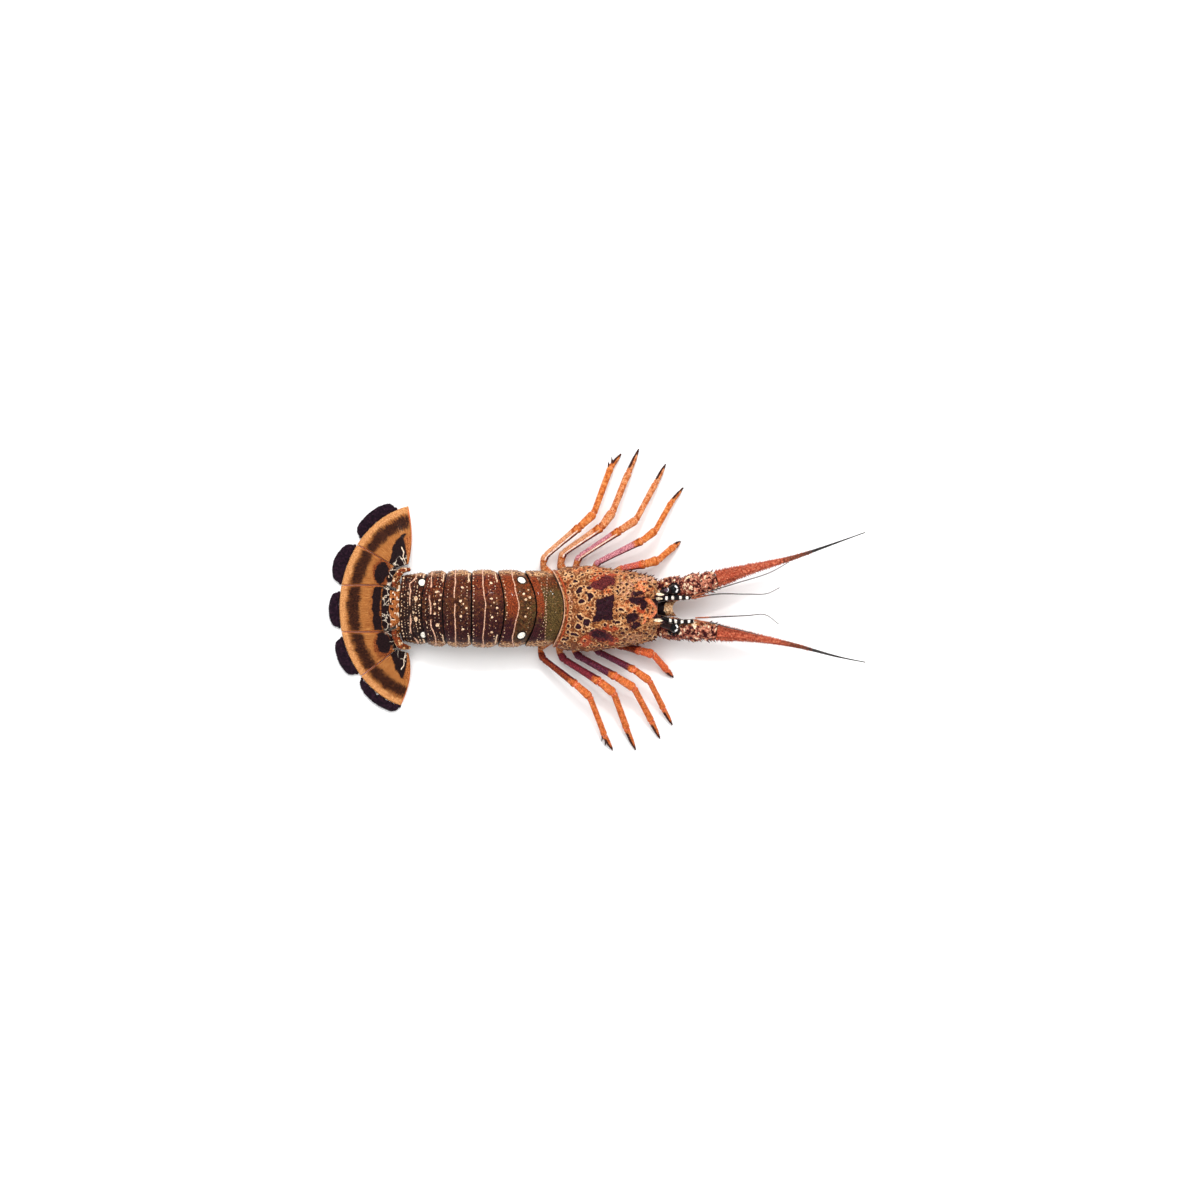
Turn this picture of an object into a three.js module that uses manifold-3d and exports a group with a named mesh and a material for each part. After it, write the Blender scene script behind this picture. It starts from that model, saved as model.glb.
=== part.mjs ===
// A raw spiny lobster lying belly down with its legs, tail fan and antennae spread.
// Millimetres. +X points to the head, +Y to the animal's left, +Z up. The origin is on the
// flat of the belly, on the body's midline, half way along the whole length.

import * as THREE from "three";
import { mergeVertices } from "three/addons/utils/BufferGeometryUtils.js";
import Module from "manifold-3d";

const wasm = await Module();
wasm.setup();

// ---------------------------------------------------------------- driving dimensions

const GAP = 0.3; // clearance between neighbouring pieces
const DOME_POWER = 2.25; // 2 is an ellipse, more is a squarer arch

// Stations along the carapace: middle of the ring, how far its sides lie behind the middle,
// half width, top, height of the widest line, underside.
const CARAPACE = [
  { x: -27.3, lean: 10.1, half: 32.3, top: 46.5, mid: 24, low: 10.6 },
  { x: -18, lean: 8, half: 35.2, top: 49, mid: 24, low: 10.3 },
  { x: -4, lean: 4, half: 36, top: 51.6, mid: 23, low: 10.3 },
  { x: 12, lean: 1, half: 33.8, top: 52.6, mid: 22.5, low: 10.3 },
  { x: 26, lean: 0, half: 31.8, top: 51, mid: 22, low: 10.4 },
  { x: 38, lean: 0, half: 29.4, top: 47.6, mid: 22, low: 11 },
  { x: 46, lean: 0, half: 27.2, top: 43.6, mid: 23, low: 12.2 },
  { x: 51.2, lean: 0, half: 24.6, top: 38.6, mid: 24.5, low: 14 },
];
const CARAPACE_RINGS = 19;
const RIM = { width: 3.2, groove: 1, depth: 0.9 }; // rolled rear margin and the groove before it
const NECK_GROOVE = { x: 16, width: 3.4, depth: 1.3 }; // groove between head and thorax

// The seven edges of the six tail rings, front to back.
const TAIL_EDGES = [
  { x: -27.3, lean: 10.1, half: 31.6, top: 45.8, mid: 24, low: 15, flap: 14 },
  { x: -50.2, lean: 10.2, half: 32.4, top: 48.4, mid: 24, low: 13, flap: 6 },
  { x: -77.4, lean: 5.9, half: 32.8, top: 50.6, mid: 25, low: 16, flap: 7 },
  { x: -105, lean: 0, half: 32.8, top: 51, mid: 25.5, low: 17, flap: 8 },
  { x: -129.6, lean: -3.4, half: 32.4, top: 47.6, mid: 23, low: 14, flap: 6 },
  { x: -147.5, lean: -4.7, half: 31.2, top: 40.6, mid: 19, low: 9.5, flap: 4 },
  { x: -167.2, lean: -2.5, half: 28, top: 25.4, mid: 13, low: 6.5, flap: 4 },
];
const TAIL_TUCK = 0.945; // how much narrower the front of each ring is, under its neighbour
// How far the flaps of each ring draw in at its rear end, as a share of its half width.
const TAIL_NOTCH = [0.02, 0.03, 0.05, 0.08, 0.09, 0.03];
const FRONT_NOTCH = 0.4; // the same at its front end, as a share of that
const TAIL_RINGS = [0, 0.14, 0.34, 0.44, 0.54, 0.8, 1];
const TAIL_GROOVE = { at: 0.44, depth: 0.018 }; // the cross groove of each ring

// The tail fan is half an ellipse behind its centre, domed down to the ground.
const FAN = { x: -147.2, length: 71.7, left: 88.5, right: 85.9, crown: 19, bend: 1.25, rim: 2.1 };
const BLADE = { root: 3, edge: 1.7, across: 6, along: 6, gap: 0.45 };
const TELSON = { half: 19.7, neckX: -168.6, neckHalf: 13.5, root: 9, horny: 0.4 };

// Side blades of the fan, for the left side; the right side has its own small differences.
const INNER_BLADE = { rootIn: [-172.3, 16.9], rootOut: [-169.6, 34.7], bowIn: [-175, 21.6], rimIn: 19.9 };
const FAN_SEAM = { left: [-202.4, 54.3], right: [-198.9, 57.4] };
const OUTER_BLADE = { rootIn: [-169.2, 35.1], rootOut: [-159.6, 37.6], bowOut: [-154, 58] };
// The knuckle that carries the two side blades, beside the last ring.
const KNUCKLE = {
  line: [[-171.2, 17.5, 17.2], [-169.8, 25, 16.7], [-165.4, 31.6, 15.9], [-157.5, 33.4, 14.4]],
  wide: [2.4, 3, 2.9, 1.3],
};
const OUTER_TIP = { left: [-169, 87], right: [-166.5, 82.6] };

// Bristle pads along the fan's rim: where each starts and ends on the ellipse, in degrees
// from the tail's middle line, and its radius along the way.
const PAD_HEIGHT = 4.6;
const PAD_GAP = 0.1;
const PADS = {
  fringe_outer_left: { from: 42.9, to: 71.3, wide: [4.6, 5.1, 4.4] },
  fringe_inner_left: { from: 14.1, to: 36.9, wide: [4.5, 6, 4.2] },
  fringe_telson: { from: -10.5, to: 9, wide: [3.6, 4.5, 3.6] },
  fringe_inner_right: { from: -16.8, to: -39.2, wide: [4.1, 5.1, 4.3] },
  fringe_outer_right: { from: -43.6, to: -74, wide: [3.2, 4.3, 3.8] },
};

// Legs: where each shows at the shell's edge, then length and heading in degrees of the
// upper arm's base, upper arm, elbow, forearm and claw. Front leg first.
const LEGS = {
  left: [
    { hip: [18.2, 32.3], reach: [4.7, 19, 11.5, 18.2, 7], turn: [21, 11, 16, 41, 40], stout: 1 },
    { hip: [-1.8, 36.1], reach: [4.3, 42.4, 13.6, 27.8, 16.5], turn: [43, 26, 38, 61, 51], stout: 0.86 },
    { hip: [-18.2, 37], reach: [7.2, 42.2, 15.4, 36, 18.9], turn: [62, 33, 33, 62, 63], stout: 0.92 },
    { hip: [-31.4, 38.2], reach: [9.1, 39.8, 15.3, 36.6, 22.6], turn: [71, 34, 54, 68, 67], stout: 1 },
    { hip: [-46.7, 36.1], reach: [8.6, 39.2, 15.6, 42.6, 14.9], turn: [70, 40, 43, 70, 53], stout: 0.96 },
  ],
  right: [
    { hip: [17.4, 31], reach: [5.2, 15.5, 10.7, 17.7, 9], turn: [12, 15, 15, 49, 47], stout: 1 },
    { hip: [-2.1, 34.6], reach: [5.8, 33, 15.2, 27, 16], turn: [29, 27, 36, 63, 61], stout: 0.88 },
    { hip: [-20.1, 35.9], reach: [7.5, 35.9, 17.2, 32.3, 16.7], turn: [41, 29, 32, 62, 64], stout: 0.96 },
    { hip: [-33.1, 35.9], reach: [8.9, 36.5, 14.6, 32.5, 20.1], turn: [54, 32, 39, 70, 67], stout: 1 },
    { hip: [-49.4, 33.9], reach: [9.4, 36.3, 14.9, 35.6, 14.6], turn: [66, 38, 42, 69, 61], stout: 0.9 },
  ],
};
// Heights along a leg: hidden root, hip, base, knee, elbow, wrist and tip.
const LEG_HEIGHTS = [4.9, 7.3, 11.5, 23.5, 21, 6.2, 1];
const FRONT_LEG_LOW = 0.72; // the short front legs stand lower
const LEG_ROOT_Y = 23.2; // where a leg leaves the belly plate
const LEG_ROOT_X = { 1: 12, 2: 1, 3: -12, 4: -23, 5: -33 };
// Radius of a leg along each stretch: [share of the stretch, radius].
const LEG_PROFILE = [
  [[0, 3.5], [0.9, 3.5]],
  [[0.85, 3.1]],
  [[0.06, 2.9], [0.5, 3.1], [0.96, 3.7]],
  [[0.06, 3.2], [0.7, 3.9], [0.96, 3.4]],
  [[0.05, 2.8], [0.5, 2.8], [0.97, 2.8]],
  [[0.06, 2.4], [0.55, 2], [1, 0.45]],
];
const LEG_SIDES = 7;

// Antennae: middle line and half widths, first the three stout joints, then the whip.
const ANTENNA = {
  left: {
    joints: [[51.9, 15.4, 21.5], [74.4, 17.8, 24], [90, 20.6, 26.5], [101.6, 24.9, 28.5]],
    wide: [9, 10.3, 9.5, 6.8],
    whip: [[102.4, 25.2, 29.1], [127, 32.6, 29], [166.2, 43, 26], [205.3, 56.5, 20], [227.9, 64.6, 15]],
    whipWide: [6, 4.2, 1.95, 0.75, 0.42],
  },
  right: {
    joints: [[51.9, -15.4, 21.5], [74.4, -18.1, 24], [90, -18.8, 26.5], [101.6, -20.2, 28.5]],
    wide: [9, 8.9, 8.4, 6.6],
    whip: [[102.4, -20.4, 29.1], [127, -23.6, 29], [166.2, -30.8, 26], [205.3, -41, 20], [228.1, -45.6, 15]],
    whipWide: [5.7, 3.9, 1.9, 0.75, 0.42],
  },
};
const WHIP_STEPS = 14;

// Antennules: a jointed stalk and two fine threads each.
const ANTENNULE = {
  left: {
    stalk: [[53.4, 8.2, 33], [66, 9.3, 33.2], [79.6, 8.9, 32.6]],
    inner: [[80.4, 8.4, 32.2], [102, 12.2, 31.5], [127, 12.2, 29.5], [144, 12.6, 27], [155.1, 17.7, 25]],
    outer: [[80.4, 10, 33.4], [99, 15.6, 36.5], [118, 21.4, 36], [146, 30.2, 32], [163, 39.4, 29]],
  },
  right: {
    stalk: [[53.4, -8.2, 33], [68, -11, 33.2], [82.6, -10.6, 32.6]],
    inner: [[83.4, -7.9, 32.2], [102, -7.1, 31.5], [127, -6, 29.5], [143, -5.4, 27], [154.3, -13.2, 25]],
    outer: [[83.4, -10.2, 33.4], [100, -12.6, 35], [112, -16.2, 35.4], [126, -19, 34.6], [140, -20.4, 33]],
  },
};
const STALK_WIDE = [2.2, 2.3, 1.7];
const THREAD_RADIUS = 0.45;
const THREAD_STEPS = 14;

const EYE = { x: 65.4, y: 16.2, z: 37.8, radius: 4.1, stalk: 2.4, rootX: 53.8, rootY: 13, rootZ: 35.6 };
const HORN = { x: 42, y: 11.6, length: 17, rise: 12, radius: 3.5, lean: -0.6 };
const SNOUT_PLATE = { front: 65.6, back: 51.9, half: 6.2, top: 29.6, bottom: 11 };

// The belly plate: flat underneath between the legs, rising under the mouth.
const BELLY = [
  { x: -36, top: 10, low: 3, wideTop: 15, wideLow: 9 },
  { x: -31, top: 9.9, low: 0, wideTop: 19, wideLow: 13.5 },
  { x: -12, top: 9.9, low: 0, wideTop: 19, wideLow: 12.5 },
  { x: 8, top: 9.9, low: 0, wideTop: 19, wideLow: 10 },
  { x: 13, top: 9.9, low: 6.2, wideTop: 18, wideLow: 10 },
  { x: 38, top: 10.6, low: 8.3, wideTop: 14, wideLow: 10 },
];
const MOUTH_LEG = { y: 6, back: 15.5, front: 58, radius: 2.5, z: 3.2, rise: 5 };

// ---------------------------------------------------------------- colours

const FINISH = {
  carapace: [0xc98a50, 0.42],
  belly: [0xd9a878, 0.55],
  tailRing: [0x6a3a20, 0.38],
  fan: [0xd99552, 0.5],
  bristle: [0x23121c, 0.9],
  leg: [0xe0803a, 0.45],
  joint: [0xc9805e, 0.5],
  whip: [0xb8553c, 0.5],
  thread: [0x4a4038, 0.6],
  eye: [0x101012, 0.12],
  stalk: [0x2a1c18, 0.4],
};

// ---------------------------------------------------------------- shape helpers

const lerp = THREE.MathUtils.lerp;
const point = ([x, y, z = 0]) => new THREE.Vector3(x, y, z);

// A count of numbers from one value to another, evenly apart.
const evenly = (count, from, to) =>
  Array.from({ length: count }, (_, i) => lerp(from, to, i / (count - 1)));

// Repeatable numbers between -1 and 1.
function seeded(seed) {
  let state = seed;
  return () => {
    state = (state * 16807) % 2147483647;
    return (state / 2147483647) * 2 - 1;
  };
}

// A smooth value between evenly numbered stations; at runs from 0 to the last index.
function smooth(values, at) {
  const last = values.length - 1;
  const i = Math.min(Math.floor(at), last - 1);
  const [a, b, c, d] = [i - 1, i, i + 1, i + 2].map((k) => values[Math.min(Math.max(k, 0), last)]);
  const f = at - i;
  const bend = 2 * a - 5 * b + 4 * c - d;
  return b + 0.5 * f * (c - a + f * (bend + f * (3 * (b - c) + d - a)));
}

// One station read smoothly between two or more given stations.
function stationAt(stations, at) {
  const read = (key) => smooth(stations.map((s) => s[key]), at);
  return Object.fromEntries(Object.keys(stations[0]).map((key) => [key, read(key)]));
}

// A closed skin over rings that hold the same number of points, facing outwards. Each end
// closes on its ring's centre, or on a given point.
function loft(rings, ends = [null, null]) {
  const count = rings[0].length;
  const centre = (ring) => ring.reduce((sum, p) => sum.add(p), new THREE.Vector3()).divideScalar(count);
  const points = [...rings.flat(), ends[0] ?? centre(rings[0]), ends[1] ?? centre(rings.at(-1))];
  const [first, last] = [points.length - 2, points.length - 1];
  const end = (rings.length - 1) * count;
  const faces = [];
  for (let i = 0; i < count; i++) {
    const j = (i + 1) % count;
    faces.push(first, j, i, last, end + i, end + j);
    for (let k = 0; k < end; k += count) {
      faces.push(k + i, k + j, k + count + j, k + i, k + count + j, k + count + i);
    }
  }
  if (signedVolume(points, faces) < 0) faces.reverse();
  return new THREE.BufferGeometry().setFromPoints(points).setIndex(faces);
}

function signedVolume(points, faces) {
  let six = 0;
  for (let i = 0; i < faces.length; i += 3) {
    const [a, b, c] = [points[faces[i]], points[faces[i + 1]], points[faces[i + 2]]];
    six += a.dot(new THREE.Vector3().crossVectors(b, c));
  }
  return six / 6;
}

// A tapering tube round a smooth line, with a radius for each given point.
function taper(points, radii, steps, sides, flat = 1) {
  const curve = new THREE.CatmullRomCurve3(points.map(point), false, "centripetal");
  const rings = [];
  for (let i = 0; i <= steps; i++) {
    const u = i / steps;
    const radius = smooth(radii, u * (radii.length - 1));
    rings.push(circle(curve.getPoint(u), curve.getTangent(u), radius, sides, flat));
  }
  return loft(rings);
}

// A ring of points square to a direction; flat squeezes it in height.
function circle(centre, along, radius, sides, flat = 1) {
  const side = new THREE.Vector3(-along.y, along.x, 0).normalize();
  const up = new THREE.Vector3().crossVectors(along, side).normalize();
  if (up.z < 0) up.negate();
  return Array.from({ length: sides }, (_, i) => {
    const turn = (2 * Math.PI * i) / sides;
    const p = centre.clone().addScaledVector(side, radius * Math.cos(turn));
    return p.addScaledVector(up, radius * flat * Math.sin(turn));
  });
}

function toSolid(geometry) {
  const bare = geometry.clone();
  bare.deleteAttribute("normal");
  bare.deleteAttribute("uv");
  const merged = mergeVertices(bare, 1e-4);
  return new wasm.Manifold(
    new wasm.Mesh({
      numProp: 3,
      vertProperties: new Float32Array(merged.attributes.position.array),
      triVerts: new Uint32Array(merged.index.array),
    }),
  );
}

function toGeometry(solid) {
  const mesh = solid.getMesh();
  const geometry = new THREE.BufferGeometry();
  geometry.setAttribute("position", new THREE.BufferAttribute(mesh.vertProperties, 3));
  return geometry.setIndex(new THREE.BufferAttribute(mesh.triVerts, 1));
}

// Pieces joined into one closed solid.
function fuse(first, ...others) {
  return toGeometry(others.reduce((solid, g) => solid.add(toSolid(g)), toSolid(first)));
}

// A thorn standing on a surface: its root is sunk a little and its tip leans.
function thorn(root, lean, length, radius, sides = 5) {
  const sunk = 0.9;
  const dir = lean.clone().normalize();
  const cone = new THREE.ConeGeometry(radius, length + sunk, sides);
  cone.applyQuaternion(new THREE.Quaternion().setFromUnitVectors(new THREE.Vector3(0, 1, 0), dir));
  const middle = root.clone().addScaledVector(dir, (length - sunk) / 2);
  return cone.translate(middle.x, middle.y, middle.z);
}

// ---------------------------------------------------------------- shell cross-section

const DOME_STEPS = 12;

// Points of a shell ring from the left side over the back to the right side.
function dome(station) {
  return Array.from({ length: DOME_STEPS + 1 }, (_, i) => {
    const turn = (Math.PI * i) / DOME_STEPS;
    const c = Math.cos(turn);
    const y = station.half * Math.sign(c) * Math.abs(c) ** (2 / DOME_POWER);
    const z = station.mid + (station.top - station.mid) * Math.sin(turn) ** (2 / DOME_POWER);
    return place(station, y, z);
  });
}

// A ring lies behind its middle by its lean, more towards the sides.
function place(station, y, z) {
  const out = Math.min(1, Math.abs(y) / station.half);
  const share = z < station.mid ? 1 : out * out;
  return new THREE.Vector3(station.x - station.lean * share, y, z);
}

// A smooth dent about zero: 1 in the middle, nothing beyond its width.
const dent = (distance, width) => Math.cos((Math.PI / 2) * Math.min(1, Math.abs(distance) / width));

// ---------------------------------------------------------------- carapace

function carapaceStation(x) {
  let at = 0;
  while (at < CARAPACE.length - 2 && CARAPACE[at + 1].x < x) at++;
  const share = (x - CARAPACE[at].x) / (CARAPACE[at + 1].x - CARAPACE[at].x);
  const station = stationAt(CARAPACE, at + share);
  station.x = x;
  const rim = dent(x - CARAPACE[0].x - RIM.width, RIM.groove) * RIM.depth;
  const neck = dent(x - NECK_GROOVE.x, NECK_GROOVE.width) * NECK_GROOVE.depth;
  station.half -= rim;
  station.top -= rim + neck;
  return station;
}

// Height of the shell above a point of its plan.
function carapaceTop(x, y) {
  let s = carapaceStation(x);
  for (let i = 0; i < 3; i++) s = carapaceStation(x + s.lean * (y / s.half) ** 2);
  const out = Math.min(0.999, Math.abs(y) / s.half);
  return s.mid + (s.top - s.mid) * (1 - out ** DOME_POWER) ** (1 / DOME_POWER);
}

function carapaceRing(x) {
  const s = carapaceStation(x);
  const lower = [0.35, 0.7, 1].map((share) => {
    const turn = (share * Math.PI) / 2;
    return [s.half * (0.7 + 0.3 * Math.cos(turn)), s.mid - (s.mid - s.low) * Math.sin(turn)];
  });
  const right = lower.map(([y, z]) => place(s, -y, z));
  const left = lower.toReversed().map(([y, z]) => place(s, y, z));
  return [...dome(s), ...right, place(s, 0, s.low), ...left];
}

// Thorns in rows along the shell, wider apart behind, bigger towards the head.
function carapaceThorns() {
  const wobble = seeded(11);
  const thorns = [];
  const rows = [6, 13.5, 20.5, 26.5];
  for (const side of [-1, 1]) {
    rows.forEach((row, r) => {
      for (let x = -14 + 3 * r; x < 46 - r; x += 9.5) {
        const px = x + 1.5 * wobble();
        const py = side * (row + 1.2 * wobble()) * Math.min(1, (62 - px) / 40);
        const grow = THREE.MathUtils.smoothstep(px, -10, 45);
        const root = new THREE.Vector3(px, py, carapaceTop(px, py));
        const lean = new THREE.Vector3(0.75, py / 46, 0.9);
        thorns.push(thorn(root, lean, lerp(1.5, 3.6, grow), lerp(1, 1.6, grow)));
      }
    });
  }
  return thorns;
}

// The pair of horns that stand forward over the eyes.
function horn(side) {
  const z = carapaceTop(HORN.x, HORN.y) - 2.5;
  const line = [0, 0.35, 0.7, 1].map((u) => [
    HORN.x + HORN.length * u,
    side * (HORN.y + HORN.lean * u),
    z + HORN.rise * u ** 1.4,
  ]);
  return taper(line, [HORN.radius, HORN.radius * 0.86, HORN.radius * 0.6, 0.35], 5, 7);
}

function carapace() {
  const start = CARAPACE[0].x;
  const finish = CARAPACE.at(-1).x;
  const rim = [0, 1.1, RIM.width - 1, RIM.width, RIM.width + 1].map((d) => start + d);
  const first = start + RIM.width + 3;
  const rest = evenly(CARAPACE_RINGS, first, finish);
  const rings = [...rim, ...rest].map(carapaceRing);
  const shell = loft(rings, [hollowEnd(CARAPACE[0], 1), null]);
  return fuse(shell, horn(-1), horn(1), ...carapaceThorns());
}

// The end of a shell ring dishes inwards: towards the head with 1, the tail with -1.
function hollowEnd(station, way) {
  const edges = [station.x, station.x - station.lean];
  const x = way > 0 ? Math.max(...edges) + 1 : Math.min(...edges) - 1;
  return new THREE.Vector3(x, 0, station.mid);
}

// ---------------------------------------------------------------- belly and mouth

function bellyPlate() {
  const count = BELLY.length;
  const rings = Array.from({ length: count }, (_, i) => {
    const s = BELLY[i];
    const top = s.top - GAP;
    const middle = (top + s.low) / 2;
    const edge = lerp(s.wideLow, s.wideTop, 0.72);
    const outline = [
      [s.wideTop, top],
      [edge, middle],
      [s.wideLow, s.low],
      [-s.wideLow, s.low],
      [-edge, middle],
      [-s.wideTop, top],
    ];
    return outline.map(([y, z]) => new THREE.Vector3(s.x, y, z));
  });
  return loft(rings);
}

function mouthLeg(side) {
  const m = MOUTH_LEG;
  const line = [0, 0.45, 0.8, 1].map((u) => [
    lerp(m.back, m.front, u),
    side * (m.y + 2.6 * Math.sin(Math.PI * u)),
    m.z + m.rise * u + 1.4 * (u > 0.9 ? -1 : 0),
  ]);
  return taper(line, [m.radius, m.radius * 0.95, m.radius * 0.7, 0.7], 7, 7);
}

// ---------------------------------------------------------------- tail rings

function tailStation(index, share) {
  const station = stationAt(TAIL_EDGES, index + share);
  const [front, back] = [TAIL_EDGES[index], TAIL_EDGES[index + 1]];
  station.x = lerp(front.x - GAP, back.x, share);
  const swell = THREE.MathUtils.smoothstep(share, 0, 0.32);
  const tuck = lerp(TAIL_TUCK, 1, swell) - 0.012 * THREE.MathUtils.smoothstep(share, 0.85, 1);
  const groove = share === TAIL_GROOVE.at ? TAIL_GROOVE.depth : 0;
  const lobe = Math.sin(Math.PI * Math.min(1, share * 0.86 + 0.08));
  const nearEnd = Math.abs(2 * share - 1) ** 4 * (share < 0.5 ? FRONT_NOTCH : 1);
  station.half *= (tuck - groove * 0.5) * (1 - TAIL_NOTCH[index] * nearEnd);
  station.top = station.mid + (station.top - station.mid) * (tuck - groove);
  station.flap = lerp(station.mid * 0.8, station.flap, lobe);
  return station;
}

// The side flaps hang lower than the soft underside between them.
function tailRing(index, share) {
  const s = tailStation(index, share);
  const shape = [
    [0.985, lerp(s.mid, s.flap, 0.45)],
    [0.93, lerp(s.mid, s.flap, 0.85)],
    [0.87, s.flap],
    [0.81, lerp(s.flap, Math.max(s.low, s.flap), 0.3) + 0.6],
    [0.7, Math.max(s.low, s.flap + 1)],
  ];
  const right = shape.map(([y, z]) => place(s, -y * s.half, z));
  const left = shape.toReversed().map(([y, z]) => place(s, y * s.half, z));
  return [...dome(s), ...right, place(s, 0, Math.max(s.low, s.flap + 1) + 1.2), ...left];
}

// A small leaf-shaped swimming leg under the tail.
function paddle(index, side) {
  const s = tailStation(index, 0.4);
  const out = s.half * 0.42;
  const height = Math.max(s.low, s.flap + 1) + 1;
  const line = [
    [s.x - s.lean, side * out, height + 1.5],
    [s.x - s.lean - 4, side * (out + 2), height - 1.8],
    [s.x - s.lean - 10, side * (out + 2.5), height - 4.4],
  ];
  return taper(line, [2.4, 5, 1.6], 4, 7, 0.3);
}

function tailSegment(index) {
  const rings = TAIL_RINGS.map((share) => tailRing(index, share));
  const ends = [hollowEnd(tailStation(index, 0), -1), hollowEnd(tailStation(index, 1), 1)];
  const thorns = [-1, 1].map((side) => {
    const s = tailStation(index, 0.86);
    const root = place(s, side * s.half * 0.93, lerp(s.mid, s.flap, 0.7));
    return thorn(root, new THREE.Vector3(-0.8, side * 0.5, -0.35), 3.4, 1.5);
  });
  const paddles = index >= 1 && index <= 4 ? [paddle(index, -1), paddle(index, 1)] : [];
  return fuse(loft(rings, ends), ...thorns, ...paddles);
}

// ---------------------------------------------------------------- tail fan

const fanHalf = (y) => (y > 0 ? FAN.left : FAN.right);

// Middle height of the fan above a point of its plan.
function fanHeight(x, y) {
  const r = Math.min(1, Math.hypot((x - FAN.x) / FAN.length, y / fanHalf(y)));
  return FAN.rim + FAN.crown * (1 - r) ** FAN.bend;
}

const fanRimX = (y) => FAN.x - FAN.length * Math.sqrt(Math.max(0, 1 - (y / fanHalf(y)) ** 2));

// A blade from its plan: plan(along, across) gives [x, y] with both shares from 0 to 1.
// It is thick at the root over its horny share and thin from there to the rim.
function blade(plan, root = BLADE.root, horny = 1) {
  const rings = [];
  for (let i = 0; i <= BLADE.along; i++) {
    const along = i / BLADE.along;
    const thick = lerp(root, BLADE.edge, Math.min(1, along / horny)) / 2;
    const row = Array.from({ length: BLADE.across + 1 }, (_, j) => {
      const across = j / BLADE.across;
      const [x, y] = plan(along, across);
      const round = Math.min(1, 6 * Math.min(across, 1 - across) + 0.35);
      return { x, y, z: fanHeight(x, y), t: thick * round };
    });
    const top = row.map((p) => new THREE.Vector3(p.x, p.y, p.z + p.t));
    const under = row.toReversed().map((p) => new THREE.Vector3(p.x, p.y, p.z - p.t));
    rings.push([...top, ...under]);
  }
  return loft(rings);
}

function telson() {
  const plan = (along, across) => {
    const widen = Math.sin((Math.PI / 2) * Math.min(1, along * 3.4));
    const y = lerp(TELSON.neckHalf, TELSON.half - BLADE.gap / 2, widen) * (1 - 2 * across);
    return [lerp(TELSON.neckX, fanRimX(y) + BLADE.gap, along), y];
  };
  return blade(plan, TELSON.root, TELSON.horny);
}

// Sides from the root to the rim, bowed through a point where one is given, with the rim's
// own curve blended in.
function sideBlade(side, inner, outer) {
  const sideLine = ({ root, rim, bow }, u) =>
    bow
      ? [0, 1].map((k) => (1 - u) ** 2 * root[k] + 2 * u * (1 - u) * bow[k] + u * u * rim[k])
      : [lerp(root[0], rim[0], u), lerp(root[1], rim[1], u)];
  return blade((along, across) => {
    const [a, b] = [sideLine(inner, along), sideLine(outer, along)];
    const rimY = lerp(inner.rim[1], outer.rim[1], across);
    const bulge = fanRimX(side * rimY) + BLADE.gap - lerp(inner.rim[0], outer.rim[0], across);
    return [lerp(a[0], b[0], across) + bulge * along ** 2, side * lerp(a[1], b[1], across)];
  });
}

const onRim = (side, y) => [fanRimX(side * y) + BLADE.gap, y];
const seamOf = (side) => (side > 0 ? FAN_SEAM.left : FAN_SEAM.right);

function innerBlade(side) {
  const { rootIn, rootOut, bowIn, rimIn } = INNER_BLADE;
  const seam = onRim(side, seamOf(side)[1] - BLADE.gap / 2);
  const inner = { root: rootIn, rim: onRim(side, rimIn), bow: bowIn };
  return sideBlade(side, inner, { root: rootOut, rim: seam });
}

function outerBlade(side) {
  const { rootIn, rootOut, bowOut } = OUTER_BLADE;
  const tip = onRim(side, (side > 0 ? OUTER_TIP.left : OUTER_TIP.right)[1]);
  const seam = onRim(side, seamOf(side)[1] + BLADE.gap / 2);
  return sideBlade(side, { root: rootIn, rim: seam }, { root: rootOut, rim: tip, bow: bowOut });
}

function fanKnuckle(side) {
  const line = KNUCKLE.line.map(([x, y, z]) => [x, side * y, z]);
  return taper(line, KNUCKLE.wide, 6, 7);
}

// A point beside the fan's rim, a distance outside it, at an angle from the middle line.
function besideRim(degrees, distance) {
  const turn = THREE.MathUtils.degToRad(degrees);
  const half = fanHalf(turn);
  const out = new THREE.Vector2(-Math.cos(turn) / FAN.length, Math.sin(turn) / half).normalize();
  const x = FAN.x - FAN.length * Math.cos(turn) + out.x * distance;
  return new THREE.Vector3(x, half * Math.sin(turn) + out.y * distance, PAD_HEIGHT / 2);
}

// A plump bristle pad along the rim, rounded at both ends and low on the ground.
function bristlePad({ from, to, wide }) {
  const steps = 8;
  const radiusAt = (u) => smooth(wide, u * (wide.length - 1));
  const centre = (u) => besideRim(lerp(from, to, u), radiusAt(u) + PAD_GAP);
  const rings = [];
  for (let i = 0; i <= steps; i++) {
    const u = i / steps;
    const cap = Math.sqrt(Math.max(0.08, 1 - Math.abs(2 * u - 1) ** 7));
    const along = centre(u + 0.01).sub(centre(u - 0.01)).normalize();
    const radius = radiusAt(u);
    rings.push(circle(centre(u), along, radius * cap, 8, PAD_HEIGHT / 2 / radius));
  }
  const [start, finish] = [centre(0), centre(1)];
  const beyond = start.clone().sub(finish).normalize();
  start.addScaledVector(beyond, wide[0] * 0.35);
  finish.addScaledVector(beyond, -wide.at(-1) * 0.35);
  return loft(rings, [start, finish]);
}

// ---------------------------------------------------------------- legs

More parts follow.
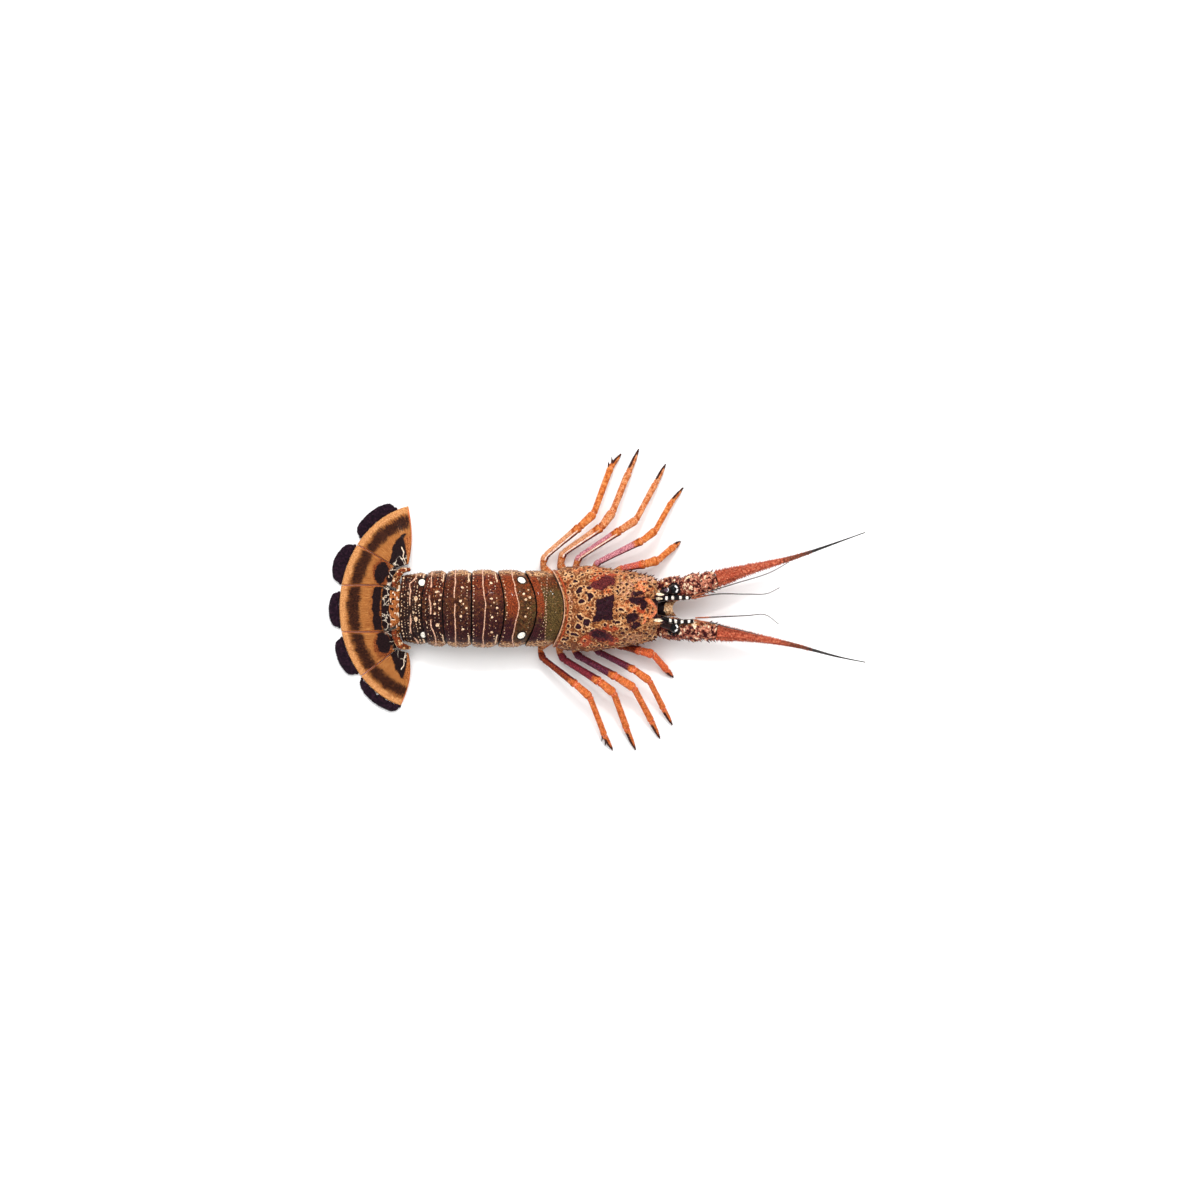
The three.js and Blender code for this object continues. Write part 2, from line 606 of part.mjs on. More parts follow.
function legPoints(side, number, leg) {
  const points = [[LEG_ROOT_X[number], side * LEG_ROOT_Y], [leg.hip[0], side * leg.hip[1]]];
  leg.reach.forEach((reach, i) => {
    const [x, y] = points.at(-1);
    const turn = THREE.MathUtils.degToRad(leg.turn[i]);
    points.push([x + reach * Math.cos(turn), y + side * reach * Math.sin(turn)]);
  });
  const low = number === 1 ? FRONT_LEG_LOW : 1;
  const height = (i) => LEG_HEIGHTS[i] * (i > 1 && i < 6 ? low : 1);
  return points.map(([x, y], i) => new THREE.Vector3(x, y, height(i)));
}

function leg(side, number) {
  const size = LEGS[side > 0 ? "left" : "right"][number - 1];
  const points = legPoints(side, number, size);
  const rings = [];
  LEG_PROFILE.forEach((profile, i) => {
    const along = points[i + 1].clone().sub(points[i]).normalize();
    for (const [share, radius] of profile) {
      const centre = points[i].clone().lerp(points[i + 1], share);
      rings.push(circle(centre, along, radius * size.stout, LEG_SIDES));
    }
  });
  const shape = loft(rings);
  return number === 5 ? fuse(shape, ...footSpurs(side, points)) : shape;
}

// The hind legs end in a short pincer: two spurs stand against the claw.
function footSpurs(side, points) {
  const wrist = points.at(-2);
  const along = points.at(-1).clone().sub(points.at(-3)).normalize();
  const out = new THREE.Vector3(-along.y, along.x, 0).multiplyScalar(side);
  const lean = along.clone().addScaledVector(out, 0.55);
  const first = wrist.clone().addScaledVector(along, -1.5).addScaledVector(out, 1);
  const second = wrist.clone().addScaledVector(along, 4.5).addScaledVector(out, 0.6);
  return [thorn(first, lean, 6, 1.3), thorn(second, lean, 4.6, 1.1)];
}

// ---------------------------------------------------------------- antennae and eyes

const ANTENNA_JOINTS = ["base", "middle", "outer"];

// The direction of an antenna's middle line at a joint: half way between its neighbours'.
function antennaHeading(points, index) {
  const before = points[Math.max(index - 1, 0)];
  const after = points[Math.min(index + 1, points.length - 1)];
  return after.clone().sub(before).normalize();
}

// One of the three stout joints: waisted at its ends, thorned round its sides.
function antennaJoint(side, index) {
  const { joints, wide } = ANTENNA[side > 0 ? "left" : "right"];
  const points = joints.map(point);
  const along = points[index + 1].clone().sub(points[index]).normalize();
  const start = points[index].clone().addScaledVector(along, index ? GAP : 0);
  const end = points[index + 1];
  const swell = [0.86, 1, 1.04, 0.86];
  const rings = swell.map((k, i) => {
    const u = i / (swell.length - 1);
    const heading = [antennaHeading(points, index), along, along, antennaHeading(points, index + 1)][i];
    const radius = lerp(wide[index], wide[index + 1], u) * k;
    const ring = circle(start.clone().lerp(end, u), heading, radius, 10, 0.86);
    return index === 0 && i === 0 ? ring.map((p) => p.setX(start.x)) : ring;
  });
  return fuse(loft(rings), ...jointThorns(side, index, start, end, wide));
}

function jointThorns(side, index, start, end, wide) {
  const wobble = seeded(31 + index + (side > 0 ? 7 : 0));
  const along = end.clone().sub(start).normalize();
  const turns = 5;
  const thorns = [];
  for (const u of [0.38, 0.8]) {
    const radius = lerp(wide[index], wide[index + 1], u) * 0.97;
    for (let i = 0; i < turns; i++) {
      const turn = (2 * Math.PI * (i + u + 0.12 * wobble())) / turns;
      const outer = side * Math.cos(turn);
      if (Math.sin(turn) < -0.75 || (index === 0 && outer < 0.2) || (index === 1 && outer < -0.4)) continue;
      const out = new THREE.Vector3(-along.y, along.x, 0).normalize().multiplyScalar(Math.cos(turn));
      out.z += 0.86 * Math.sin(turn);
      const root = start.clone().lerp(end, u).addScaledVector(out, radius);
      thorns.push(thorn(root, out.addScaledVector(along, 0.9), index === 0 ? 2.2 : 3, 1.2, 4));
    }
  }
  return thorns;
}

function antennaWhip(side) {
  const { whip, whipWide } = ANTENNA[side > 0 ? "left" : "right"];
  return taper(whip, whipWide, WHIP_STEPS, 8, 0.9);
}

function antennuleStalk(side) {
  const { stalk } = ANTENNULE[side > 0 ? "left" : "right"];
  return taper(stalk, STALK_WIDE, 5, 7);
}

function antennuleThread(side, which) {
  const line = ANTENNULE[side > 0 ? "left" : "right"][which];
  return taper(line, [THREAD_RADIUS, THREAD_RADIUS], THREAD_STEPS, 4);
}

function eye(side) {
  const ball = new THREE.SphereGeometry(EYE.radius, 12, 8);
  ball.translate(EYE.x, side * EYE.y, EYE.z);
  const line = [
    [EYE.rootX, side * EYE.rootY, EYE.rootZ],
    [EYE.x, side * EYE.y, EYE.z],
  ];
  return fuse(ball, taper(line, [EYE.stalk * 0.8, EYE.stalk], 2, 7));
}

function snoutPlate() {
  const { front, back, half, top, bottom } = SNOUT_PLATE;
  const size = [0.9, 1, 0.9, 0.55];
  const rings = size.map((k, i) => {
    const x = lerp(back, front, i / (size.length - 1));
    const fall = 5 * (i / (size.length - 1)) ** 2;
    return [
      [half * k, top - fall - 2],
      [half * k * 0.6, top - fall],
      [-half * k * 0.6, top - fall],
      [-half * k, top - fall - 2],
      [-half * k * 0.8, bottom + fall],
      [half * k * 0.8, bottom + fall],
    ].map(([y, z]) => new THREE.Vector3(x, y, z));
  });
  return loft(rings);
}

// ---------------------------------------------------------------- the whole lobster

const lobster = new THREE.Group();

function add(name, geometry, [color, roughness]) {
  const material = new THREE.MeshStandardMaterial({ color, roughness, metalness: 0 });
  const mesh = new THREE.Mesh(geometry, material);
  mesh.name = name;
  lobster.add(mesh);
}

add("carapace", carapace(), FINISH.carapace);
add("belly_plate", bellyPlate(), FINISH.belly);
add("snout_plate", snoutPlate(), FINISH.joint);
for (let i = 0; i < TAIL_EDGES.length - 1; i++) add(`tail_ring_${i + 1}`, tailSegment(i), FINISH.tailRing);
add("telson", telson(), FINISH.fan);
for (const [name, pad] of Object.entries(PADS)) add(name, bristlePad(pad), FINISH.bristle);

for (const [side, word] of [[1, "left"], [-1, "right"]]) {
  add(`fan_knuckle_${word}`, fanKnuckle(side), FINISH.tailRing);
  add(`fan_inner_${word}`, innerBlade(side), FINISH.fan);
  add(`fan_outer_${word}`, outerBlade(side), FINISH.fan);
  for (let number = 1; number <= 5; number++) add(`leg_${word}_${number}`, leg(side, number), FINISH.leg);
  ANTENNA_JOINTS.forEach((joint, i) => add(`antenna_${joint}_${word}`, antennaJoint(side, i), FINISH.joint));
  add(`antenna_whip_${word}`, antennaWhip(side), FINISH.whip);
  add(`antennule_stalk_${word}`, antennuleStalk(side), FINISH.stalk);
  for (const which of ["inner", "outer"]) {
    add(`antennule_${which}_${word}`, antennuleThread(side, which), FINISH.thread);
  }
  add(`eye_${word}`, eye(side), FINISH.eye);
  add(`mouth_leg_${word}`, mouthLeg(side), FINISH.leg);
}

export default lobster;
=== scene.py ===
"""A raw spiny lobster lying belly down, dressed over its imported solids.

Lengths are millimetres until a mesh is written, and metres from there. +X points to the head,
+Y to the animal's left, +Z up. The camera looks straight down from far above.
"""

import logging
import math
from collections.abc import Callable, Sequence
from dataclasses import dataclass, field
from enum import Enum, IntEnum
from functools import cache, cached_property
from typing import Any

import bpy
import numpy as np
from numpy.typing import NDArray
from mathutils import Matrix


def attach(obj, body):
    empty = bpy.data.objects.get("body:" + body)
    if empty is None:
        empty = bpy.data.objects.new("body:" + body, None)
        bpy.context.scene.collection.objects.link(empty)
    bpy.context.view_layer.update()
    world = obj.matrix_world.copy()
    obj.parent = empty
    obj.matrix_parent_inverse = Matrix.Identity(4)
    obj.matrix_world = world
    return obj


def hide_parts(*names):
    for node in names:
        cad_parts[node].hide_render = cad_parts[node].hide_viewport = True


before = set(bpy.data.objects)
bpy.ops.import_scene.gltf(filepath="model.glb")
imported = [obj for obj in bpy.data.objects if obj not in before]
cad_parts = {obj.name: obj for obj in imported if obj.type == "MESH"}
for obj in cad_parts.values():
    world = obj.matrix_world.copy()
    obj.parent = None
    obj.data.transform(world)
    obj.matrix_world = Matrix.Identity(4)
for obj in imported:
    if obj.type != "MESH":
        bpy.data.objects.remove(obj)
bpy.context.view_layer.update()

Array = NDArray[Any]
Shape = Callable[[Array, Array], Array]
Masks = dict[str, Array]
Relief = Callable[[Array, Array, Array], Array]
Marks = Callable[[Array, Array, Array], Masks]
Item = bpy.types.Object

MM = 0.001
GAP = 0.3  # clearance between neighbouring pieces
DOME_POWER = 2.25  # 2 is an ellipse, more is a squarer arch
PIXEL = 0.85  # millimetres in one pixel of the photograph
PHOTO_ORIGIN = (596.5, 608.5)  # the pixel over the frame's origin
ROUND = 2 * np.pi  # a full turn
SLOPE_STEP = 1e-3  # the share of a form over which its slope is read
WELD_REACH = 1e-6  # metres within which points become one
LATTICE = 24  # values along each side of the block that lumps are read from
RANDOM_FACTOR, RANDOM_WRAP = 16807, 2147483647  # what the solids' repeatable numbers go by
MASK_EDGE = (0.3, 0.7)  # where specks begin to show on a mask, and where all of them do
SPECK_EDGE, HALO_EDGE = (0.05, -0.03), (0.17, 0.07)  # shares of a speck's cell
HOLLOW_EDGE = (0.16, 0.36)  # the same for the hollows of a net
log = logging.getLogger("lobster")


# ------------------------------------------------------------------ choices


class Side(Enum):
    """The animal's two sides, by the sign of Y."""

    LEFT = 1
    RIGHT = -1

    @property
    def word(self) -> str:
        """The side's name, as the pieces' names have it."""
        return self.name.lower()


class Slot(Enum):
    """The material slots of the record."""

    CARAPACE = "carapace_shell"
    TAIL = "tail_shell"
    FAN = "fan_blade"
    BRISTLE = "bristle_pad"
    LEG = "leg_shell"
    BELLY = "belly_skin"
    JOINT = "antenna_joint"
    WHIP = "antenna_whip"
    ANTENNULE = "antennule"
    EYE = "eye_black"


class Seed(IntEnum):
    """What each kind of random draw follows from."""

    LUMPS = 5
    THORN_ROWS = 11
    STUDS = 21
    STUD_SIZES = 22
    SPINULES = 23
    JOINT_ROWS = 31
    KNUCKLES = 41
    BRISTLES = 61
    LEG_HAIRS = 70
    JOINT_SPOTS = 80
    JOINT_THORNS = 90
    WHIP_SPINES = 95
    MOUTH_HAIRS = 120
    RING_DOTS = 300


# ------------------------------------------------------------------ small sums


def lerp(start: Any, end: Any, share: Any) -> Any:
    """The value a share of the way from start to end."""
    return start + (end - start) * share


def smoothstep(value: Array, low: float, high: float) -> Array:
    """0 below low, 1 above high and a soft rise between, also with high below low."""
    share = np.clip((np.asarray(value) - low) / (high - low), 0, 1)
    return share * share * (3 - 2 * share)


def dent(distance: Array, width: float) -> Array:
    """A smooth dent about zero: 1 in the middle and nothing beyond its width."""
    return np.cos(np.pi / 2 * np.minimum(1, np.abs(distance) / width))


def band(value: Array, low: Any, high: Any, soft: float) -> Array:
    """1 between low and high, with soft edges."""
    rise = smoothstep(value - low, -soft, soft)
    return rise * (1 - smoothstep(value - high, -soft, soft))


def most(*masks: Array) -> Array:
    """The strongest of several masks at each point."""
    return np.maximum.reduce(masks)


def unit(vectors: Array) -> Array:
    """Vectors of length one, or of none where they have none."""
    length = np.linalg.norm(vectors, axis=-1, keepdims=True)
    return vectors / np.maximum(length, 1e-12)


def end_share(along: Array, cap: float) -> Array:
    """0 at both very ends of a form, and 1 from where the cells that close it begin."""
    return np.clip(np.minimum(along, 1 - along) / cap, 0, 1)


def middle_share(along: Array, cap: float) -> Array:
    """The share of a form's length, without the cells that close its ends."""
    return np.clip((along - cap) / (1 - 2 * cap), 0, 1)


def over_and_back(across: Array) -> Array:
    """0 to 1 over a blade's top and back to 0 under it."""
    return np.where(across < 0.5, across * 2, 2 - across * 2)


def facing_up(across: Array, low: float = -0.1, high: float = 0.3) -> Array:
    """1 on a tube's back and 0 below it."""
    return smoothstep(np.sin(across * ROUND), low, high)


def one(value: float) -> Array:
    """A single value, for a form that is read at many."""
    return np.array([value])


def read_smooth(values: Array, at: Array) -> Array:
    """Read evenly numbered values on a smooth curve through them.

    Args:
        values: one value or one row for each number from 0.
        at: where to read, as numbers between the first and the last.

    Returns:
        The values there.
    """
    values = np.asarray(values, float)
    last = len(values) - 1
    index = np.minimum(np.floor(at).astype(int), last - 1)
    a, b, c, d = (values[np.clip(index + step, 0, last)] for step in (-1, 0, 1, 2))
    f = at - index
    if values.ndim > 1:
        f = f[..., None]
    bend = 2 * a - 5 * b + 4 * c - d
    return b + 0.5 * f * (c - a + f * (bend + f * (3 * (b - c) + d - a)))


def from_photo(marks: Sequence[Sequence[float]]) -> Array:
    """Plan places in millimetres of pixels of the photograph, one row each."""
    pixels = np.array([mark[:2] for mark in marks], float)
    return (pixels - PHOTO_ORIGIN) * (PIXEL, -PIXEL)


def ovals(points: Array, marks: Sequence[Sequence[float]]) -> Array:
    """How deep points lie in any of some ovals seen from above.

    Args:
        points: places in millimetres.
        marks: for each oval its pixel, half width and half height in pixels, and its turn
            in degrees where it has one.

    Returns:
        1 inside, 0 outside and a soft edge between.
    """
    inside = np.zeros(len(points))
    for mark in marks:
        x, y = from_photo([mark])[0]
        wide, tall = mark[2], mark[3] if len(mark) > 3 else mark[2]
        turn = math.radians(mark[4]) if len(mark) > 4 else 0.0
        dx, dy = points[:, 0] - x, points[:, 1] - y
        across = dx * math.cos(turn) + dy * math.sin(turn)
        along = dy * math.cos(turn) - dx * math.sin(turn)
        reach = np.hypot(across / (wide * PIXEL), along / (tall * PIXEL))
        inside = np.maximum(inside, 1 - smoothstep(reach, 0.75, 1.25))
    return inside


def widened(mark: Sequence[float]) -> tuple[float, ...]:
    """An oval with a rim round it."""
    rim = 1.3
    return (mark[0], mark[1], mark[2] + rim, mark[3] + rim, *mark[4:])


def shaken(points: Array, *sizes: tuple[float, float]) -> Array:
    """Places shifted unevenly, so that marks laid on them get a natural outline.

    Args:
        points: places in millimetres.
        sizes: the size of some lumps and how far they shift the places, in millimetres.

    Returns:
        The shifted places.
    """
    moved = np.array(points, float)
    for size, reach in sizes:
        moved[:, 0] += reach * LUMPS.at(points + (17.0, 0, 0), size)
        moved[:, 1] += reach * LUMPS.at(points + (0, 23.0, 0), size)
    return moved


def beside_line(points: Array, line: Sequence[Sequence[float]]) -> Array:
    """How far points lie ahead of a line across the body, in millimetres.

    Args:
        points: places in millimetres.
        line: the line's pixels in the photograph, from its upper to its lower end.

    Returns:
        The distance along X, nothing beyond the line's ends being read past them.
    """
    places = from_photo(line)
    order = np.argsort(places[:, 1])
    middle = np.interp(points[:, 1], places[order, 1], places[order, 0])
    return points[:, 0] - middle


def colour(text: str) -> tuple[float, float, float, float]:
    """A shader's colour from a screen colour such as #aabbcc."""
    values = [int(text[i : i + 2], 16) / 255 for i in (1, 3, 5)]
    linear = [v / 12.92 if v <= 0.04045 else ((v + 0.055) / 1.055) ** 2.4 for v in values]
    return (linear[0], linear[1], linear[2], 1.0)


def park_miller(seed: int) -> Callable[[], float]:
    """Repeatable numbers between -1 and 1, as the solids' thorns use them."""
    state = seed

    def following() -> float:
        """The next number."""
        nonlocal state
        state = (state * RANDOM_FACTOR) % RANDOM_WRAP
        return state / RANDOM_WRAP * 2 - 1

    return following


class Lumps:
    """Smooth, repeatable unevenness through space."""

    def __init__(self, seed: int) -> None:
        """Draw the lattice of values.

        Args:
            seed: what the values follow from.
        """
        self.values = np.random.default_rng(seed).uniform(-1, 1, (LATTICE,) * 3)

    def at(self, points: Array, size: float) -> Array:
        """Values between -1 and 1 at points, in lumps of a size in millimetres."""
        place = np.asarray(points) / size
        cell = np.floor(place).astype(int)
        share = place - cell
        share = share * share * (3 - 2 * share)
        total = np.zeros(len(place))
        for corner in np.ndindex(2, 2, 2):
            weight = np.prod(np.where(corner, share, 1 - share), axis=1)
            x, y, z = ((cell + corner) % LATTICE).T
            total += weight * self.values[x, y, z]
        return total


LUMPS = Lumps(Seed.LUMPS)


def lumpy(*layers: tuple[float, float]) -> Relief:
    """Unevenness in layers, each by its height and its lumps' size in millimetres."""

    def height(along: Array, across: Array, points: Array) -> Array:
        """How far the surface is raised, in millimetres."""
        return sum(tall * LUMPS.at(points, size) for tall, size in layers)

    return height


class Line:
    """A smooth line through given points, with knots spaced by the root of the distance."""

    def __init__(self, points: Sequence[Sequence[float]]) -> None:
        """Keep the points.

        Args:
            points: the places the line goes through, in millimetres.
        """
        self.points = np.array(points, float)

    def at(self, share: Array) -> Array:
        """Places on the line, at shares of its number of stretches."""
        p = self.points
        stretches = len(p) - 1
        place = np.clip(share, 0, 1) * stretches
        index = np.minimum(np.floor(place).astype(int), stretches - 1)
        w = (place - index)[:, None]
        q = np.vstack([2 * p[0] - p[1], p, 2 * p[-1] - p[-2]])
        a, b, c, d = (q[index + step] for step in range(4))
        before, here, after = (
            np.sqrt(np.linalg.norm(v - u, axis=1))[:, None] for u, v in ((a, b), (b, c), (c, d))
        )
        start = here * ((b - a) / before - (c - a) / (before + here)) + (c - b)
        end = here * ((d - c) / after - (d - b) / (here + after)) + (c - b)
        return (
            b
            + w * start
            + w**2 * (3 * (c - b) - 2 * start - end)
            + w**3 * (2 * (b - c) + start + end)
        )

    def heading(self, share: Array) -> Array:
        """Directions of the line at shares of its number of stretches."""
        ahead = self.at(np.minimum(1, share + SLOPE_STEP))
        return unit(ahead - self.at(np.maximum(0, share - SLOPE_STEP)))


def ring_point(centre: Array, along: Array, radius: Array, turn: Array, flat: float = 1) -> Array:
    """Points of rings square to a direction.

    Args:
        centre: the rings' centres.
        along: the direction at each centre.
        radius: the rings' radii.
        turn: how far round each point is, in radians from the left.
        flat: the rings' height as a share of their width.

    Returns:
        The points.
    """
    level = np.stack([-along[:, 1], along[:, 0], np.zeros(len(along))], -1)
    side = unit(level)
    up = unit(np.cross(along, side))
    up = up * np.where(up[:, 2:3] < 0, -1, 1)
    out = radius * np.cos(turn)
    rise = radius * flat * np.sin(turn)
    return centre + side * out[:, None] + up * rise[:, None]


def round_end(share: Array, start: float, end: float) -> Array:
    """A tube's width as it closes at both ends: 0 at the very ends and 1 between."""
    near = np.clip(np.minimum(share / start, (1 - share) / end), 0, 1)
    return np.sqrt(1 - (1 - near) ** 2)


# ------------------------------------------------------------------ modelling


class Workshop:
    """The steps that every piece is modelled with."""

    @staticmethod
    def pick(*items: Item) -> None:
        """Select only these objects and make the first one active."""
        bpy.ops.object.select_all(action="DESELECT")
        for item in items:
            item.select_set(True)
        bpy.context.view_layer.objects.active = items[0]

    @staticmethod
    def edit(item: Item, *steps: Callable[[], Any]) -> None:
        """Run steps in edit mode on the whole of an object."""
        Workshop.pick(item)
        bpy.ops.object.mode_set(mode="EDIT")
        bpy.ops.mesh.select_all(action="SELECT")
        for step in steps:
            step()
        bpy.ops.object.mode_set(mode="OBJECT")

    @staticmethod
    def weld(item: Item) -> None:
        """Close seams and poles and turn every face outwards."""
        Workshop.edit(
            item,
            lambda: bpy.ops.mesh.remove_doubles(threshold=WELD_REACH),
            lambda: bpy.ops.mesh.normals_make_consistent(inside=False),
        )

    @staticmethod
    def join(item: Item, *others: Item) -> Item:
        """Make one piece of several."""
        Workshop.pick(item, *others)
        bpy.ops.object.join()
        return item

    @staticmethod
    def soften(item: Item, degrees: float = 50) -> None:
        """Shade smoothly across all but the sharpest edges."""
        Workshop.pick(item)
        bpy.ops.object.shade_smooth_by_angle(angle=math.radians(degrees))

    @staticmethod
    def places(item: Item) -> Array:
        """The places of a mesh's points, in its own units."""
        flat = np.empty(len(item.data.vertices) * 3, np.float32)
        item.data.vertices.foreach_get("co", flat)
        return flat.reshape(-1, 3).astype(float)

    @staticmethod
    def put(item: Item, points: Array) -> None:
        """Move a mesh's points to places in millimetres."""
        item.data.vertices.foreach_set("co", (points * MM).astype(np.float32).ravel())
        item.data.update()

    @staticmethod
    def mark(item: Item, masks: Masks) -> None:
        """Write values for the finish on a mesh's points."""
        for name, values in masks.items():
            layer = item.data.attributes.new(name, "FLOAT", "POINT")
            layer.data.foreach_set("value", np.asarray(values, np.float32))


@dataclass
class Skin:
    """A grid of cells that is wrapped round a form and sculpted.

    Its first share runs along the form and its second one round it.
    """

    name: str
    cells: tuple[int, int]
    shape: Shape
    relief: Relief | None = None
    masks: Marks | None = None

    def build(self) -> Item:
        """Make the mesh.

        Returns:
            The object, closed, with its values for the finish.
        """
        bpy.ops.object.select_all(action="DESELECT")
        bpy.ops.mesh.primitive_grid_add(
            x_subdivisions=self.cells[0], y_subdivisions=self.cells[1], size=1.0
        )
        item = bpy.context.object
        item.name = item.data.name = self.name
        plan = Workshop.places(item)
        along, across = np.clip(plan[:, 0] + 0.5, 0, 1), np.clip(plan[:, 1] + 0.5, 0, 1)
        points = self.shape(along, across)
        raised = points
        if self.relief is not None:
            height = self.relief(along, across, points)
            raised = points + self.outward(along, across, points) * height[:, None]
        Workshop.put(item, raised)
        if self.masks is not None:
            Workshop.mark(item, self.masks(along, across, points))
        Workshop.weld(item)
        Workshop.soften(item)
        return item

    def outward(self, along: Array, across: Array, points: Array) -> Array:
        """Directions square to the form, facing out of it."""
        step, shape = SLOPE_STEP, self.shape
        run = shape(np.minimum(1, along + step), across) - shape(np.maximum(0, along - step), across)
        turn = shape(along, np.minimum(1, across + step)) - shape(along, np.maximum(0, across - step))
        square = np.cross(turn, run)
        return unit(square) * np.sign(np.sum(square * (points - points.mean(axis=0))))


def beyond(points: Array, roots: Array) -> Array:
    """How far each point lies from the nearest of some places, in millimetres."""
    far, near = 9.0, 4  # what is given where no place is near, and how near that is
    nearest = np.full(len(points), far)
    for root in roots:
        close = np.flatnonzero(np.abs(points[:, 0] - root[0]) < near)
        reach = np.linalg.norm(points[close] - root, axis=1)
        nearest[close] = np.minimum(nearest[close], reach)
    return nearest


def scatter(
    shape: Shape, spans: tuple[float, float, float, float], tries: int, apart: float, seed: int
) -> tuple[Array, Array]:
    """Strew places over a form.

    Args:
        shape: the form.
        spans: from and to along it, then from and to across it.
        tries: how many places are tried.
        apart: how far the kept ones are from each other, in millimetres.
        seed: what the places follow from.

    Returns:
        The places, and the directions out of the form there.
    """
    draw = np.random.default_rng(seed)
    along, across = draw.uniform(*spans[:2], tries), draw.uniform(*spans[2:], tries)
    places = shape(along, across)
    kept: list[int] = []
    for number, place in enumerate(places):
        if not kept or np.linalg.norm(places[kept] - place, axis=1).min() > apart:
            kept.append(number)
    out = Skin("", (1, 1), shape).outward(along, across, places)
    return places[kept], out[kept]


class Thorns:
    """Thorns standing on a surface, all copies of one modelled cone."""

    def __init__(self, sides: int = 7, cuts: int = 2) -> None:
        """Model the cone: one unit wide at its foot and one long.

        Args:
            sides: how many sides it has.
            cuts: how many rings divide it along its length.
        """
        self.points, self.faces = self.model(sides, cuts)
        self.rows: list[tuple[float, ...]] = []

    @staticmethod
    @cache
    def model(sides: int, cuts: int) -> tuple[Array, tuple[tuple[int, ...], ...]]:
        """The cone's points and faces."""
        bpy.ops.object.select_all(action="DESELECT")
        bpy.ops.mesh.primitive_cone_add(
            vertices=sides, radius1=1, radius2=0.05, depth=1, location=(0, 0, 0.5)
        )
        cone = bpy.context.object
        bpy.ops.object.transform_apply()
        bpy.context.tool_settings.mesh_select_mode = (False, True, False)
        points = cone.data.vertices
        Workshop.edit(cone, lambda: bpy.ops.mesh.select_all(action="DESELECT"))
        for edge in cone.data.edges:
            first, second = (points[i].co.z for i in edge.vertices)
            edge.select = abs(first - second) > 0.5
        Workshop.pick(cone)
        bpy.ops.object.mode_set(mode="EDIT")
        bpy.ops.mesh.subdivide(number_cuts=cuts)
        bpy.ops.object.mode_set(mode="OBJECT")
        places = Workshop.places(cone)
        slim = (1 - places[:, 2] * 0.97) ** 0.25
        places[:, :2] *= (0.55 + 0.45 * slim)[:, None]
        faces = tuple(tuple(face.vertices) for face in cone.data.polygons)
        bpy.data.objects.remove(cone)
        return places, faces

    def add(
        self, root: Array, lean: Array, length: float, radius: float, bend: float = 0.0
    ) -> None:
        """Stand a thorn on a surface.

        Args:
            root: where it stands.
            lean: the direction it points in.
            length: how far its tip is from the surface.
            radius: how thick its foot is.
            bend: how far its tip is bent towards the head.
        """
        self.rows.append((*root, *unit(np.asarray(lean, float)), length, radius, bend))

    def build(self, name: str, masks: dict[str, Any] | None = None) -> Item:
        """Make one mesh of the copies.

        Args:
            name: the mesh's name.
            masks: values for the finish, one for all or one for each thorn.

        Returns:
            The object, with the share of each thorn's length as "tip".
        """
        rows = np.array(self.rows, float)
        root, lean = rows[:, 0:3], rows[:, 3:6]
        length, radius, bend = rows[:, 6], rows[:, 7], rows[:, 8]
        ahead = np.where(np.abs(lean[:, :1]) < 0.9, (1.0, 0.0, 0.0), (0.0, 0.0, 1.0))
        first = unit(ahead - lean * np.sum(ahead * lean, axis=1, keepdims=True))
        second = np.cross(lean, first)
        x, y, z = self.points.T
        sunk = 0.5
        wide = radius[:, None, None]
        reach = (z[None] * (length + sunk)[:, None] - sunk)[..., None]
        bow = (bend[:, None] * z[None] ** 2)[..., None]
        places = (
            root[:, None]
            + wide * (x[None, :, None] * first[:, None] + y[None, :, None] * second[:, None])
            + reach * lean[:, None]
            + bow * np.array((1.0, 0.0, 0.0))
        )
        count = len(self.points)
        faces = [
            tuple(i + copy * count for i in face) for copy in range(len(rows)) for face in self.faces
        ]
        mesh = bpy.data.meshes.new(name)
        mesh.from_pydata((places.reshape(-1, 3) * MM).tolist(), [], faces)
        item = bpy.data.objects.new(name, mesh)
        bpy.context.scene.collection.objects.link(item)
        values = {
            key: np.broadcast_to(np.reshape(value, (-1, 1)), (len(rows), count)).ravel()
            for key, value in (masks or {}).items()
        }
        Workshop.mark(item, values | {"tip": np.tile(z, len(rows))})
        Workshop.soften(item, 70)
        return item


@dataclass
class Tube:
    """A round tapering piece along a smooth line."""

    line: Sequence[Sequence[float]]
    radii: Sequence[float]
    flat: float = 1.0
    ends: tuple[float, float] = (0.01, 0.01)

    def radius(self, along: Array) -> Array:
        """The tube's radius at shares of its length, before its ends close."""
        return read_smooth(np.array(self.radii), np.clip(along, 0, 1) * (len(self.radii) - 1))

    def shape(self, along: Array, across: Array) -> Array:
        """Places on the tube's skin."""
        line = Line(self.line)
        width = self.radius(along) * round_end(along, *self.ends)
        return ring_point(line.at(along), line.heading(along), width, across * ROUND, self.flat)


# ------------------------------------------------------------------ finishes


